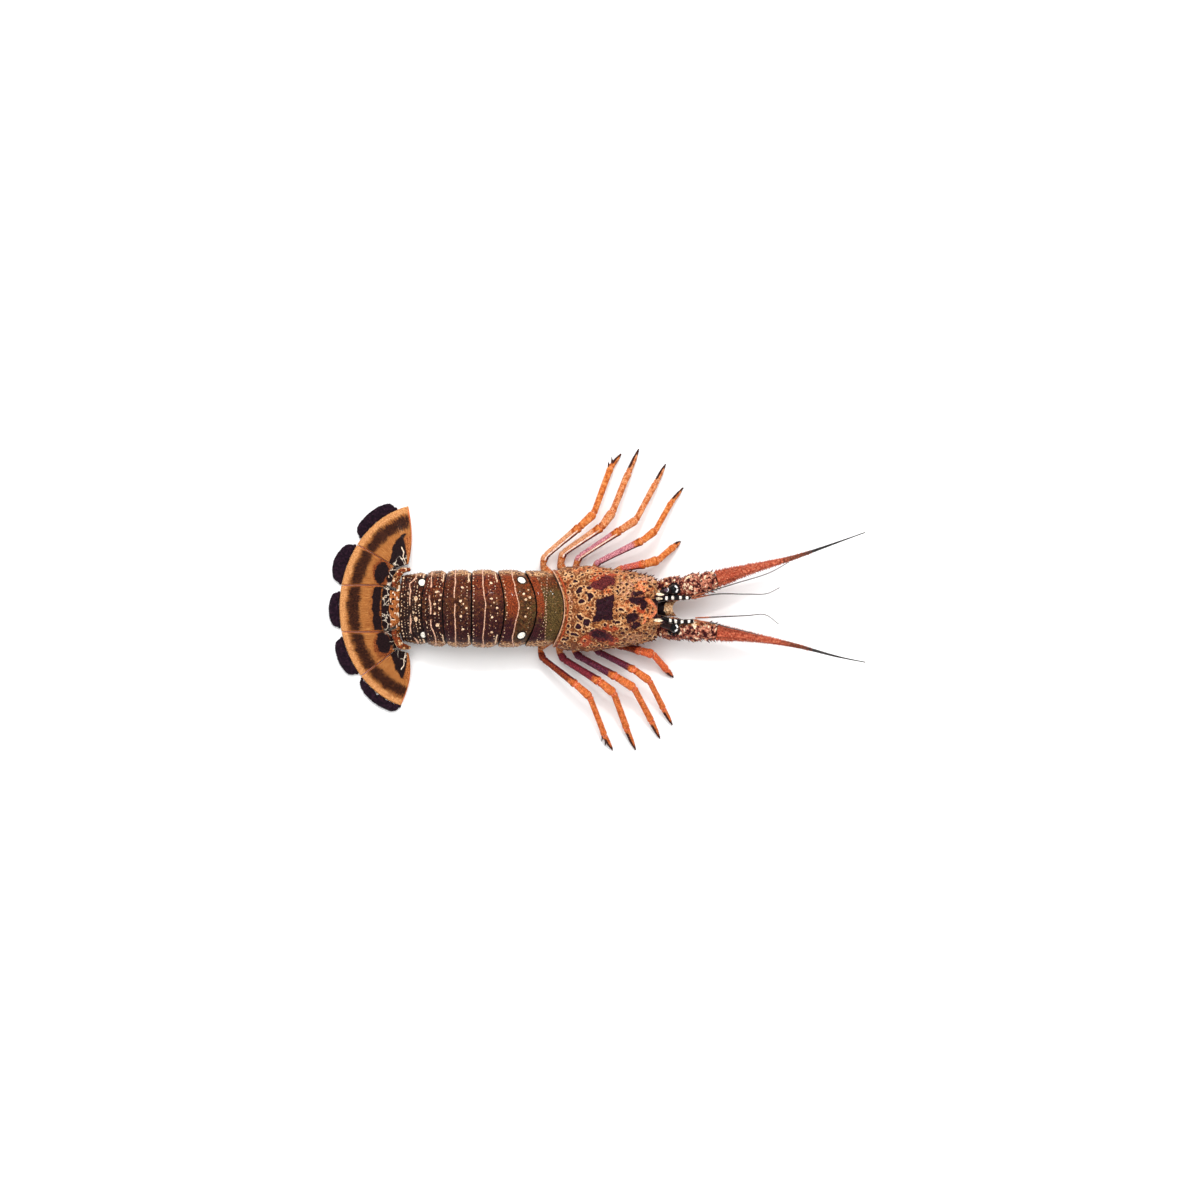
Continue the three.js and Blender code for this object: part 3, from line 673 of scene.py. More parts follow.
class Graph:
    """The nodes of one material."""

    def __init__(self, name: str) -> None:
        """Start an empty material.

        Args:
            name: the material's name.
        """
        self.material = bpy.data.materials.new(name)
        self.material.use_nodes = True
        self.tree = self.material.node_tree
        self.shader = next(n for n in self.tree.nodes if n.type == "BSDF_PRINCIPLED")

    def node(self, kind: str, inputs: dict[Any, Any], **settings: Any) -> Any:
        """Add a node.

        Args:
            kind: the node's type.
            inputs: for each input its value, or the output that feeds it.
            settings: the node's own settings.

        Returns:
            The node.
        """
        made = self.tree.nodes.new(kind)
        for key, value in settings.items():
            setattr(made, key, value)
        for key, value in inputs.items():
            if isinstance(value, bpy.types.NodeSocket):
                self.tree.links.new(value, made.inputs[key])
            else:
                made.inputs[key].default_value = value
        return made

    def noise(self, place: Any, scale: float, detail: float, rough: float = 0.55) -> Any:
        """Cloudy values about a half."""
        inputs = {"Vector": place, "Scale": scale, "Detail": detail, "Roughness": rough}
        return self.node("ShaderNodeTexNoise", inputs).outputs[0]

    def bent(self, place: Any, size: float, reach: float) -> Any:
        """Places shaken by noise, so that cells laid on them come out uneven.

        Args:
            place: the places.
            size: the noise's size, in millimetres.
            reach: how far it shifts them, in millimetres.

        Returns:
            The shifted places.
        """
        inputs = {"Vector": place, "Scale": 1 / (size * MM), "Detail": 2.0}
        noise = self.node("ShaderNodeTexNoise", inputs).outputs["Color"]
        middle = self.node("ShaderNodeVectorMath", {0: noise, 1: (0.5, 0.5, 0.5)}, operation="SUBTRACT")
        shift = {0: middle.outputs[0], "Scale": 6 * reach * MM}
        moved = self.node("ShaderNodeVectorMath", shift, operation="SCALE").outputs[0]
        return self.node("ShaderNodeVectorMath", {0: place, 1: moved}, operation="ADD").outputs[0]

    def spread(
        self, value: Any, low: float, high: float, bottom: float = 0.0, top: float = 1.0
    ) -> Any:
        """A value brought softly from one range to another."""
        inputs = {0: value, 1: low, 2: high, 3: bottom, 4: top}
        made = self.node("ShaderNodeMapRange", inputs, interpolation_type="SMOOTHSTEP")
        return made.outputs[0]

    def sum(self, kind: str, first: Any, second: Any) -> Any:
        """Two values added, multiplied or otherwise put together."""
        return self.node("ShaderNodeMath", {0: first, 1: second}, operation=kind).outputs[0]

    def mix(self, share: Any, first: Any, second: Any, blend: str = "MIX") -> Any:
        """One colour over another."""
        inputs = {0: share, 6: first, 7: second}
        made = self.node("ShaderNodeMix", inputs, data_type="RGBA", blend_type=blend)
        return made.outputs[2]

    def value(self, name: str) -> Any:
        """A value written on the piece's points."""
        return self.node("ShaderNodeAttribute", {}, attribute_name=name).outputs["Fac"]


@dataclass(frozen=True)
class Layer:
    """A colour laid over those below it where a value on the piece says so."""

    mask: str
    shades: tuple[str, str]
    ragged: float = 0.3  # how far the noise breaks its edge
    soft: float = 0.2  # how soft its edge is

    def lay(self, graph: Graph, under: Any, cloud: "Cloud") -> Any:
        """The colour with this layer over it."""
        torn = graph.sum("MULTIPLY", graph.sum("SUBTRACT", cloud.edge, 0.5), self.ragged * 7)
        mask = graph.value(self.mask)
        # the noise breaks the edge only, and leaves bare places bare
        held = graph.sum("MULTIPLY", torn, graph.spread(mask, 0.0, 0.3))
        shown = graph.spread(graph.sum("ADD", mask, held), 0.5 - self.soft, 0.5 + self.soft)
        blend = graph.spread(cloud.fine, 0.4, 0.6)
        over = graph.mix(blend, colour(self.shades[0]), colour(self.shades[1]))
        return graph.mix(shown, under, over)


@dataclass(frozen=True)
class Freckles:
    """Specks strewn over a surface, all over or where a value says so."""

    shade: str
    size: float  # millimetres from one to the next
    share: float  # how much of that the largest specks fill
    mask: str = ""
    halo: str = ""  # the colour of a ring round each speck, where it has one

    def lay(self, graph: Graph, under: Any, cloud: "Cloud") -> Any:
        """The colour with these specks over it."""
        inputs = {"Vector": cloud.bent, "Scale": 1 / (self.size * MM)}
        cells = graph.node("ShaderNodeTexVoronoi", inputs)
        odd = graph.node("ShaderNodeSeparateColor", {0: cells.outputs["Color"]}).outputs[0]
        radius = graph.spread(odd, 0.15, 1.0, 0.0, self.share)
        off = graph.sum("SUBTRACT", cells.outputs["Distance"], radius)
        part = graph.spread(graph.value(self.mask), *MASK_EDGE) if self.mask else 1.0
        paint = under
        if self.halo:
            ring = graph.sum("MULTIPLY", graph.spread(off, *HALO_EDGE), part)
            paint = graph.mix(ring, paint, colour(self.halo))
        shown = graph.sum("MULTIPLY", graph.spread(off, *SPECK_EDGE), part)
        return graph.mix(shown, paint, colour(self.shade))


@dataclass(frozen=True)
class Net:
    """Pale raised skin in a net round darker hollows, where a value says so."""

    line: str
    hollow: str
    size: float  # millimetres from one hollow to the next
    mask: str
    strong: float = 0.85
    thick: float = 0.13  # half the line's width, as a share of the size

    def lay(self, graph: Graph, under: Any, cloud: "Cloud") -> Any:
        """The colour with this net over it."""
        inputs = {"Vector": cloud.bent, "Scale": 1 / (self.size * MM)}
        cells = graph.node("ShaderNodeTexVoronoi", inputs, feature="DISTANCE_TO_EDGE").outputs[0]
        part = graph.spread(graph.value(self.mask), 0.2, 0.8, 0.0, self.strong)
        hollow = graph.sum("MULTIPLY", graph.spread(cells, *HOLLOW_EDGE), part)
        line = graph.sum("MULTIPLY", graph.spread(cells, self.thick, self.thick * 0.25), part)
        paint = graph.mix(hollow, under, colour(self.hollow))
        return graph.mix(line, paint, colour(self.line))


@dataclass(frozen=True)
class Cloud:
    """The noises that a finish's layers share."""

    fine: Any
    edge: Any
    bent: Any  # places shaken by noise


@dataclass(frozen=True)
class Finish:
    """How a surface looks, from its mottled ground up to its polish."""

    name: str
    shades: tuple[str, str, str]  # dark, middle and light of the ground
    blotch: float = 6.0  # size of the mottling, in millimetres
    grain: float = 0.9  # size of the fine grain, in millimetres
    contrast: float = 0.3  # how much the fine grain lightens and darkens
    streaks: tuple[float, float] | None = None  # mottling along and round the piece's own map
    layers: tuple[Layer | Freckles | Net, ...] = ()
    roughness: tuple[float, float] = (0.34, 0.5)
    specular: float = 0.12
    coat: float = 0.1
    coat_roughness: float = 0.07
    ramp: tuple[float, float] = (0.38, 0.62)  # where the noise is darkest and lightest
    pits: float = 0.12  # depth of the fine grain, in millimetres
    sheen: float = 0.0

    @cache
    def material(self) -> bpy.types.Material:
        """Build the finish's nodes once and keep them."""
        graph = Graph(self.name)
        solid = graph.node("ShaderNodeTexCoord", {}).outputs["Object"]
        broad = graph.noise(solid, 1 / (self.blotch * MM), 4, 0.65)
        fine = graph.noise(solid, 1 / (self.grain * MM), 3, 0.6)
        edge = graph.noise(solid, 0.36 / (self.grain * MM), 4, 0.65)
        if self.streaks:
            skin = graph.node("ShaderNodeUVMap", {}, uv_map="UVMap").outputs[0]
            scale = (*self.streaks, 1.0)
            drawn = graph.node("ShaderNodeMapping", {"Vector": skin, "Scale": scale}).outputs[0]
            broad = graph.noise(drawn, 1.0, 4, 0.6)
            edge = graph.mix(0.6, edge, broad)
        ramp = graph.node("ShaderNodeValToRGB", {0: broad})
        dark, light = ramp.color_ramp.elements
        dark.position, light.position = self.ramp
        ramp.color_ramp.elements.new(0.5)
        for element, shade in zip(ramp.color_ramp.elements, self.shades, strict=True):
            element.color = colour(shade)
        paint = ramp.outputs[0]
        cloud = Cloud(fine, edge, graph.bent(solid, self.grain * 2.6, self.grain * 0.8))
        for layer in self.layers:
            paint = layer.lay(graph, paint, cloud)
        grain = graph.spread(fine, 0.3, 0.7, 1 - self.contrast, 1 + self.contrast)
        paint = graph.mix(1.0, paint, grain, "MULTIPLY")
        graph.tree.links.new(paint, graph.shader.inputs["Base Color"])
        gloss = graph.spread(edge, 0.35, 0.65, *self.roughness)
        graph.tree.links.new(gloss, graph.shader.inputs["Roughness"])
        height = graph.sum("ADD", fine, graph.sum("MULTIPLY", edge, 1.2))
        bump = {"Height": height, "Distance": self.pits * MM, "Strength": 0.9}
        relief = graph.node("ShaderNodeBump", bump).outputs[0]
        graph.tree.links.new(relief, graph.shader.inputs["Normal"])
        for key, value in (
            ("Specular IOR Level", self.specular),
            ("Coat Weight", self.coat),
            ("Coat Roughness", self.coat_roughness),
            ("Sheen Weight", self.sheen),
        ):
            graph.shader.inputs[key].default_value = value
        return graph.material


# ------------------------------------------------------------------ the pieces' own finishes

CARAPACE_SHELL = Finish(
    "carapace_shell",
    ("#4e2012", "#8e4e28", "#ba7846"),
    blotch=3.4,
    grain=0.85,
    contrast=0.38,
    layers=(
        Layer("olive", ("#5c4420", "#7e6434"), 0.4, 0.35),
        Layer("pink", ("#b07058", "#d8a488"), 0.4, 0.35),
        Layer("golden", ("#975c24", "#be823c"), 0.4, 0.35),
        Layer("orange", ("#b84a24", "#d8723a"), 0.3, 0.35),
        Net("#ce9462", "#43180e", 4.6, "mottled", 0.74),
        Freckles("#33110d", 2.9, 0.4, "mottled", "#c98f5c"),
        Layer("amber", ("#b4542a", "#de8850"), 0.35, 0.35),
        # darker brown towards the rear, and on the lower side painted shade
        Layer("umber", ("#4a1e0e", "#78401e"), 0.5, 0.3),
        Layer("rust", ("#7c2a18", "#b44c28"), 0.3, 0.3),
        Layer("rims", ("#c08756", "#e0b282"), 0.3, 0.25),
        Layer("plum", ("#300e16", "#6c2624"), 0.25, 0.3),
        # dark: dark patches and knobs, and painted shade on the front face between the horns
        Layer("dark", ("#1c0a0e", "#300f1c"), 0.16, 0.2),
        Layer("vee", ("#dc6230", "#ee946a"), 0.1, 0.2),
        Layer("pale", ("#cf9074", "#e6b898"), 0.3, 0.25),
        # cream: painted highlights on the backs of the horns and brow spines
        Layer("cream", ("#ecd2ac", "#f8e8cc"), 0.06, 0.2),
        Layer("tip", ("#2c0f0e", "#54221a"), 0.1, 0.2),
    ),
    roughness=(0.4, 0.56),
    coat=0.16,
    pits=0.24,
)
TAIL_SHELL = Finish(
    "tail_shell",
    ("#27120a", "#452413", "#60371c"),
    blotch=3.0,
    grain=0.8,
    contrast=0.36,
    layers=(
        Layer("olive", ("#382a14", "#5c4826"), 0.45, 0.35),
        Layer("rust", ("#5c200d", "#8c3e1c"), 0.4, 0.35),
        Layer("plum", ("#250c11", "#40191d"), 0.4, 0.35),
        Layer("night", ("#140a0a", "#281312"), 0.45, 0.35),
        Freckles("#98623e", 2.4, 0.22, "specked"),
        Layer("side", ("#5e3018", "#9a6234"), 0.5, 0.3),
        Net("#d8a878", "#32140b", 4.4, "side", 0.85),
        Freckles("#2e110b", 3.0, 0.36, "side"),
        Layer("dots", ("#cc9c74", "#ecceac"), 0.12, 0.2),
        Layer("line", ("#bc8468", "#e4b89c"), 0.2, 0.25),
        # rim: painted shade in the seams between rings, real dark rings round the white spots, and the
        # paddles' dark edges
        Layer("rim", ("#0b0606", "#170c0a"), 0.15, 0.2),
        Layer("white", ("#f2e6d2", "#fffaf0"), 0.08, 0.15),
        Layer("tip", ("#2a1410", "#60402c"), 0.1, 0.2),
    ),
    roughness=(0.38, 0.54),
    specular=0.1,
    coat=0.09,
    pits=0.15,
)
FAN_BLADE = Finish(
    "fan_blade",
    ("#864a20", "#a06230", "#b67a42"),
    streaks=(5.0, 150.0),
    grain=0.8,
    contrast=0.2,
    layers=(
        Layer("glow", ("#ba7644", "#d0965e"), 0.3, 0.4),
        Layer("rust", ("#58240f", "#8a4822"), 0.5, 0.35),
        Layer("brown", ("#1e0c07", "#3e1d10"), 0.4, 0.45),
        Layer("dark", ("#130a0b", "#231114"), 0.3, 0.2),
        Net("#ecdac4", "#130809", 6.2, "curls", 0.8, 0.062),
        Freckles("#e0b894", 4.4, 0.16, "curls"),
        Layer("ridge", ("#7c3c1a", "#b46e3a"), 0.4, 0.25),
        Layer("pale", ("#eccaa6", "#fcead6"), 0.2, 0.2),
        Layer("seam", ("#c0542c", "#dc8050"), 0.15, 0.3),
    ),
    roughness=(0.46, 0.6),
    coat=0.03,
    pits=0.1,
)
BRISTLE = Finish(
    "bristle_pad",
    ("#140a12", "#1e101b", "#2c1824"),
    blotch=2.2,
    grain=0.6,
    contrast=0.35,
    layers=(Freckles("#3e2432", 2.4, 0.2),),
    roughness=(0.7, 0.9),
    specular=0.08,
    coat=0.0,
    pits=0.3,
    sheen=0.05,
)
LEG_SHELL = Finish(
    "leg_shell",
    ("#a04a1c", "#c4682e", "#d88c52"),
    streaks=(46.0, 4.0),
    grain=0.9,
    contrast=0.3,
    layers=(
        Layer("red", ("#b8442a", "#d8643a"), 0.25, 0.4),
        Layer("tan", ("#bc7650", "#d8a078"), 0.35, 0.35),
        Freckles("#5c2416", 2.4, 0.36, "hip", "#dca474"),
        # maroon, violet and russet colour the right legs' upper arms, darker than the left legs' lilac and
        # tan, partly as painted shade
        Layer("maroon", ("#541824", "#822c34"), 0.25, 0.3),
        Layer("violet", ("#3a1526", "#6a2e40"), 0.25, 0.3),
        Layer("russet", ("#4a160e", "#8c3a1e"), 0.3, 0.35),
        Layer("lilac", ("#a4586c", "#cc8c90"), 0.25, 0.35),
        # white: the pale stripe along the left legs' upper arms, painted up to the white of a highlight
        Layer("white", ("#e6cab8", "#f8ebe0"), 0.12, 0.25),
        # edge: a dark stripe on the left legs, and painted shadow of the shell on the right legs
        Layer("edge", ("#3c0f18", "#64202a"), 0.15, 0.25),
        Layer("joint", ("#a84420", "#e09468"), 0.2, 0.25),
        Layer("claw", ("#200d0a", "#4a2018"), 0.2, 0.25),
        Layer("tip", ("#120806", "#2c1410"), 0.1, 0.2),
    ),
    roughness=(0.42, 0.56),
    coat=0.1,
    pits=0.1,
)
ANTENNA_JOINT = Finish(
    "antenna_joint",
    ("#8e4434", "#bc7258", "#dc9c80"),
    blotch=3.0,
    grain=0.8,
    contrast=0.36,
    layers=(
        Layer("ochre", ("#9a5628", "#c48650"), 0.35, 0.35),
        Freckles("#4a1614", 3.4, 0.3, "", "#e0b08c"),
        Layer("maroon", ("#521a18", "#76302a"), 0.5, 0.25),
        Layer("cream", ("#dcb48c", "#f4dabc"), 0.3, 0.2),
        Layer("spots", ("#22080b", "#481416"), 0.3, 0.2),
        Layer("night", ("#0b070a", "#1a1014"), 0.2, 0.2),
        Layer("tip", ("#220a0a", "#461a16"), 0.1, 0.2),
    ),
    roughness=(0.42, 0.58),
    coat=0.12,
    pits=0.2,
)
SNOUT_SHELL = Finish(
    "snout_shell",
    ("#6a3c24", "#b07e54", "#e0b88e"),
    blotch=1.7,
    contrast=0.34,
    layers=(
        Freckles("#35160f", 3.0, 0.42, "", "#ecd0a8"),
        # dark: painted shade at the plate's root under the horns
        Layer("dark", ("#0c070a", "#1c1014"), 0.3, 0.2),
    ),
)
WHIP_SHELL = Finish(
    "whip_shell",
    ("#8e3826", "#b2543c", "#cf7858"),
    blotch=1.7,
    grain=0.8,
    contrast=0.42,
    layers=(
        Freckles("#782a1e", 2.1, 0.28),
        Freckles("#e09674", 2.6, 0.24),
        Layer("groove", ("#84301f", "#a0482f"), 0.3, 0.3),
        Layer("brown", ("#502a20", "#70402e"), 0.25, 0.35),
        Layer("grey", ("#2a2626", "#403c3a"), 0.1, 0.35),
        Layer("tip", ("#802c20", "#b85c40"), 0.1, 0.2),
    ),
    coat=0.08,
    pits=0.12,
)
THREAD_SHELL = Finish(
    "thread_shell",
    ("#3c3836", "#504c4a", "#6a6664"),
    blotch=3.0,
    layers=(Layer("tan", ("#8a4a30", "#b0684a"), 0.2, 0.3),),
    contrast=0.2,
    pits=0.03,
)
STALK_SHELL = Finish(
    "stalk_shell",
    ("#0c080a", "#161012", "#22181a"),
    layers=(Layer("dots", ("#f0e2d2", "#fffaf2"), 0.1, 0.15),),
    coat=0.25,
    pits=0.06,
)
EYE_GLOSS = Finish(
    "eye_gloss",
    ("#040405", "#07070a", "#0d0d12"),
    blotch=1.5,
    grain=0.5,
    contrast=0.2,
    layers=(
        Layer("stalk", ("#0e0808", "#2a1616"), 0.3, 0.2),
        Layer("grey", ("#3a2434", "#5c4654"), 0.2, 0.2),
        # white: painted highlights on the eyeballs, and the white arc on the left stalk
        Layer("white", ("#e8e2dc", "#ffffff"), 0.1, 0.15),
    ),
    roughness=(0.1, 0.16),
    coat=0.4,
    pits=0.02,
)
BELLY_SKIN = Finish(
    "belly_skin",
    ("#a8683a", "#c99462", "#ddb084"),
    blotch=5.0,
    contrast=0.2,
    layers=(Freckles("#8c4a2c", 3.4, 0.22), Layer("crease", ("#844428", "#a45e38"), 0.3, 0.3)),
    roughness=(0.45, 0.6),
    pits=0.15,
)


def deliver(item: Item, finish: Finish, slot: Slot, *nodes: str) -> None:
    """Dress a finished piece, hang it on the body's root and hide the solids it stands for.

    Args:
        item: the piece.
        finish: how it looks.
        slot: not used.
        nodes: the solids it stands for.
    """
    item.data.materials.clear()
    item.data.materials.append(finish.material())
    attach(item, "root")
    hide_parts(*nodes)
    log.info("%s: %d faces", item.name, len(item.data.polygons))


# ------------------------------------------------------------------ shell rings


class Stations:
    """Cross-sections given at places along a shell and read smoothly between them."""

    def __init__(self, names: str, rows: Sequence[Sequence[float]]) -> None:
        """Keep the table.

        Args:
            names: the columns' names, apart by spaces.
            rows: one row of numbers for each station.
        """
        table = np.array(rows, float)
        self.columns = {name: table[:, i] for i, name in enumerate(names.split())}

    def read(self, at: Array) -> dict[str, Array]:
        """The sections at numbers between the first and the last station."""
        return {name: read_smooth(column, at) for name, column in self.columns.items()}


DOME_SHARE = 0.7  # how much of a ring's cells go over the back


def over_dome(section: dict[str, Array], across: Array) -> tuple[Array, Array]:
    """Y and Z over the back, from the left side to the right side."""
    turn = np.clip(across / DOME_SHARE, 0, 1) * np.pi
    reach = np.cos(turn)
    rise = np.maximum(np.sin(turn), 0)
    y = section["half"] * np.sign(reach) * np.abs(reach) ** (2 / DOME_POWER)
    z = section["mid"] + (section["top"] - section["mid"]) * rise ** (2 / DOME_POWER)
    return y, z


def under_share(across: Array) -> tuple[Array, Array]:
    """How far a point is from the shell's side to its middle below, and its sign of Y."""
    under = np.clip((across - DOME_SHARE) / (1 - DOME_SHARE), 0, 1)
    return 1 - np.abs(2 * under - 1), np.where(under < 0.5, -1, 1)


def lean_back(section: dict[str, Array], y: Array, z: Array) -> Array:
    """Places of a ring whose sides lie behind its middle."""
    out = np.minimum(1, np.abs(y) / section["half"])
    share = np.where(z < section["mid"] - 1e-6, 1, out * out)
    return np.stack([section["x"] - section["lean"] * share, y, z], -1)


@dataclass
class Carapace:
    """The shell over head and thorax, with its horns and thorns."""

    stations: Stations = field(
        default_factory=lambda: Stations(
            "x lean half top mid low",
            (
                (-27.3, 10.1, 32.3, 46.5, 24, 10.6), (-18, 8, 35.2, 49, 24, 10.3),
                (-4, 4, 36, 51.6, 23, 10.3), (12, 1, 33.8, 52.6, 22.5, 10.3),
                (26, 0, 31.8, 51, 22, 10.4), (38, 0, 29.4, 47.6, 22, 11), (46, 0, 27.2, 43.6, 23, 12.2),
                (51.2, 0, 24.6, 38.6, 24.5, 14),
            ),
        )
    )
    cells: tuple[int, int] = (230, 300)
    rear_cap: float = 0.02
    front_cap: float = 0.05
    rim: tuple[float, float, float] = (3.2, 1.0, 0.9)  # width, groove's half width, depth
    neck: tuple[float, float, float] = (16, 3.4, 1.3)  # place, half width, depth
    rows: tuple[float, ...] = (6, 13.5, 20.5, 26.5)  # how far the thorn rows lie from the middle
    row_pitch: float = 9.5
    horn_line: tuple[float, ...] = (42, 11.6, 17, 12, -0.6)  # x, y, length, rise, lean
    horn_radius: float = 3.5
    horn_cells: tuple[int, int] = (60, 28)
    horn_sunk: float = 2.5
    brow_cells: tuple[int, int] = (30, 20)
    bars: tuple[tuple[float, ...], ...] = (  # painted highlights: cream bars on the backs of the horns and brow spines over the eyes; pixel, half width and height
        (659.8, 594.2, 4.2, 1.5),
        (659, 599, 4.4, 1.9),
        (658, 620, 4.8, 1.7),
    )
    # the dark round knobs on the back: pixel, half width and height in pixels, turn in degrees
    knobs: tuple[tuple[float, ...], ...] = (
        (580, 591, 3.3, 2.7, 20), (589.5, 589, 2.2, 1.9, 0), (590, 596.2, 3.7, 3.1, -20),
        (581, 602, 3.0, 2.4, 30), (580.5, 616.5, 2.9, 2.3, -20), (587, 621.5, 4.6, 3.4, 15),
        (578.5, 626.5, 3.3, 2.4, -10), (574, 634.5, 3.0, 1.6, -15), (575, 582, 2.6, 1.5, 15),
        (567, 575, 2.0, 1.1, 20), (621.6, 609, 2.9, 2.2, 10), (564, 640, 3.2, 1.4, -10),
        (591, 629, 3.0, 1.4, 15), (617, 592, 2.0, 1.7, 0), (618.5, 624, 2.4, 1.6, 20),
        (590, 572.5, 2.0, 1.2, 0), (583, 575, 2.0, 1.3, 0),
    )
    brow: tuple[float, ...] = (46.5, 8.2, 36.6, 9.5, 1.4, 1.7)  # x, y, z, length, rise, radius
    brow_line: tuple[tuple[float, float], ...] = (  # the orange edge over the face, in pixels
        (640, 584),
        (648, 598.5),
        (658.3, 609.7),
        (650, 618.5),
        (642.6, 624),
    )

    def section(self, x: Array) -> dict[str, Array]:
        """The shell's section at places along it."""
        columns = self.stations.columns
        at = np.interp(x, columns["x"], np.arange(len(columns["x"])))
        section = self.stations.read(at)
        section["x"] = x
        width, groove, depth = self.rim
        rim = dent(x - columns["x"][0] - width, groove) * depth
        neck = dent(x - self.neck[0], self.neck[1]) * self.neck[2]
        section["half"] = section["half"] - rim
        section["top"] = section["top"] - rim - neck
        return section

    def top(self, x: Array, y: Array) -> Array:
        """Height of the shell above points of its plan."""
        section = self.section(x)
        for _ in range(3):
            section = self.section(x + section["lean"] * (y / section["half"]) ** 2)
        out = np.minimum(0.999, np.abs(y) / section["half"])
        rise = (1 - out**DOME_POWER) ** (1 / DOME_POWER)
        return section["mid"] + (section["top"] - section["mid"]) * rise

    def root(self, x: float, y: float) -> Array:
        """The place on the shell above a point of its plan."""
        return np.array((x, y, self.top(one(x), one(y))[0]))

    @staticmethod
    def grown(x: float) -> float:
        """How far thorns have grown at a place: 0 at the rear and 1 at the head."""
        return float(smoothstep(x, -10, 45))

    def shape(self, along: Array, across: Array) -> Array:
        """Places on the shell, closed by its two ends."""
        xs = self.stations.columns["x"]
        whole = 1 - self.rear_cap - self.front_cap
        share = np.clip((along - self.rear_cap) / whole, 0, 1)
        section = self.section(lerp(xs[0], xs[-1], share))
        y, z = over_dome(section, across)
        inward, sign = under_share(across)
        fall = np.clip(inward / 0.55, 0, 1) * np.pi / 2
        flat = np.clip((inward - 0.55) / 0.45, 0, 1)
        low_y = sign * section["half"] * (0.7 + 0.3 * np.cos(fall)) * (1 - flat)
        low_z = section["mid"] - (section["mid"] - section["low"]) * np.sin(fall)
        below = across > DOME_SHARE
        ring = lean_back(section, np.where(below, low_y, y), np.where(below, low_z, z))
        rear = np.clip(along / self.rear_cap, 0, 1)
        front = np.clip((1 - along) / self.front_cap, 0, 1)
        centre = np.where((along < 0.5)[:, None], (xs[0] + 1.0, 0, 24), (xs[-1], 0, 26))
        return centre + (ring - centre) * (rear * front)[:, None]

    def past_rim(self, points: Array) -> Array:
        """How far points lie ahead of the curved rear margin, in millimetres."""
        columns = self.stations.columns
        bow = columns["lean"][0] * (points[:, 1] / columns["half"][0]) ** 2
        return points[:, 0] - columns["x"][0] + bow

    def relief(self, along: Array, across: Array, points: Array) -> Array:
        """Lumps, knobs and grooves of the shell, in millimetres."""
        x, y = points[:, 0], points[:, 1]
        raised = 0.4 * LUMPS.at(points, 7) + 0.34 * LUMPS.at(points, 2.9)
        raised += 0.16 * LUMPS.at(points, 1.2)
        rear = smoothstep(x, 14, 8) * smoothstep(x, -24, -18)
        raised -= 0.7 * rear * dent(np.abs(y) - 7.5 - 0.12 * (12 - x), 1.6)
        raised += 0.7 * ovals(points, self.knobs)
        raised += 0.5 * smoothstep(beyond(points, self.studs[0]), 2.2, 0.8)
        back = self.past_rim(points)
        raised *= smoothstep(back, 1.5, 6)
        return raised + 0.35 * band(back, 0.3, 2.4, 0.4)

    @cached_property
    def studs(self) -> tuple[Array, Array]:
        """Where the middling thorns stand, and the directions out of the shell."""
        spans = (self.rear_cap + 0.05, 0.93, 0.02, DOME_SHARE - 0.02)
        return scatter(self.shape, spans, 1400, 4.7, Seed.STUDS)

    def masks(self, along: Array, across: Array, points: Array) -> Masks:
        """Where the shell's colours lie."""
        x, y, z = points.T
        back = self.past_rim(points)
        over = smoothstep(z, 18, 26)
        flat, points = points, shaken(points, (6.5, 1.7), (2.6, 1.0))
        u, v = points[:, 0], points[:, 1]
        trapeze = band(u, -3.2 + 0.16 * (v + 11.5), 14.4, 1.1) * band(v, -10.8, 9.6 + 0.08 * u, 1.3)
        patches = ovals(points, [(602.5, 583, 14, 5.6, 14), (600, 635.5, 12.5, 6, -14)])
        bare = 1 - most(trapeze, patches)
        low_patch = ovals(points, [(600, 635.5, 10, 4.4, -14)])
        wide = [widened(knob) for knob in self.knobs]
        stud = beyond(flat, self.studs[0]) - 0.75 * LUMPS.at(flat, 6)
        spots = most(ovals(points, self.knobs), 0.72 * smoothstep(stud, 1.35, 0.75) * bare)
        front = [
            (636.5, 593.5, 5, 2.4, 10), (636, 601.5, 8, 4.2, -12), (644, 606, 4.2, 3, 20),
            (631, 617.5, 6, 5.2), (635.5, 625.5, 5, 3.4),
        ]
        vee = beside_line(lerp(flat, points, 0.4), self.brow_line)
        # painted shade: black ahead of the brow line, on the front face between the horns
        ahead = smoothstep(vee, 0.6, 2.0) * band(y, -13.5, 13.5, 1.2)
        warm = [
            (590, 570, 19, 4.2), (602, 575.5, 12, 5, 8), (584, 638, 8, 8), (600, 645, 20, 4.4, -6),
            (648, 597, 7.5, 12, 25), (649, 617, 6.5, 9, -20), (642, 586, 7, 4.5, 20),
            (603, 591.5, 11, 3.4), (566, 582, 3, 8), (566, 632, 3, 8),
        ]
        some = [(584, 604, 12, 20), (618, 575, 14, 6, 12), (630, 606, 14, 8), (606, 625, 14, 3)]
        rose = [(645, 579, 10, 5), (571, 597, 2.6, 9)]
        faint_rose = [(628, 588, 10, 10), (630, 638, 12, 6), (571, 619, 3, 9)]
        front_warm = [
            (647.5, 597, 6.5, 11, 20), (649.5, 617, 5.5, 8.5, -20), (640.5, 584, 5, 3.5),
            (590, 569.5, 15, 2.8), (634, 610, 6, 3.4, 10),
        ]
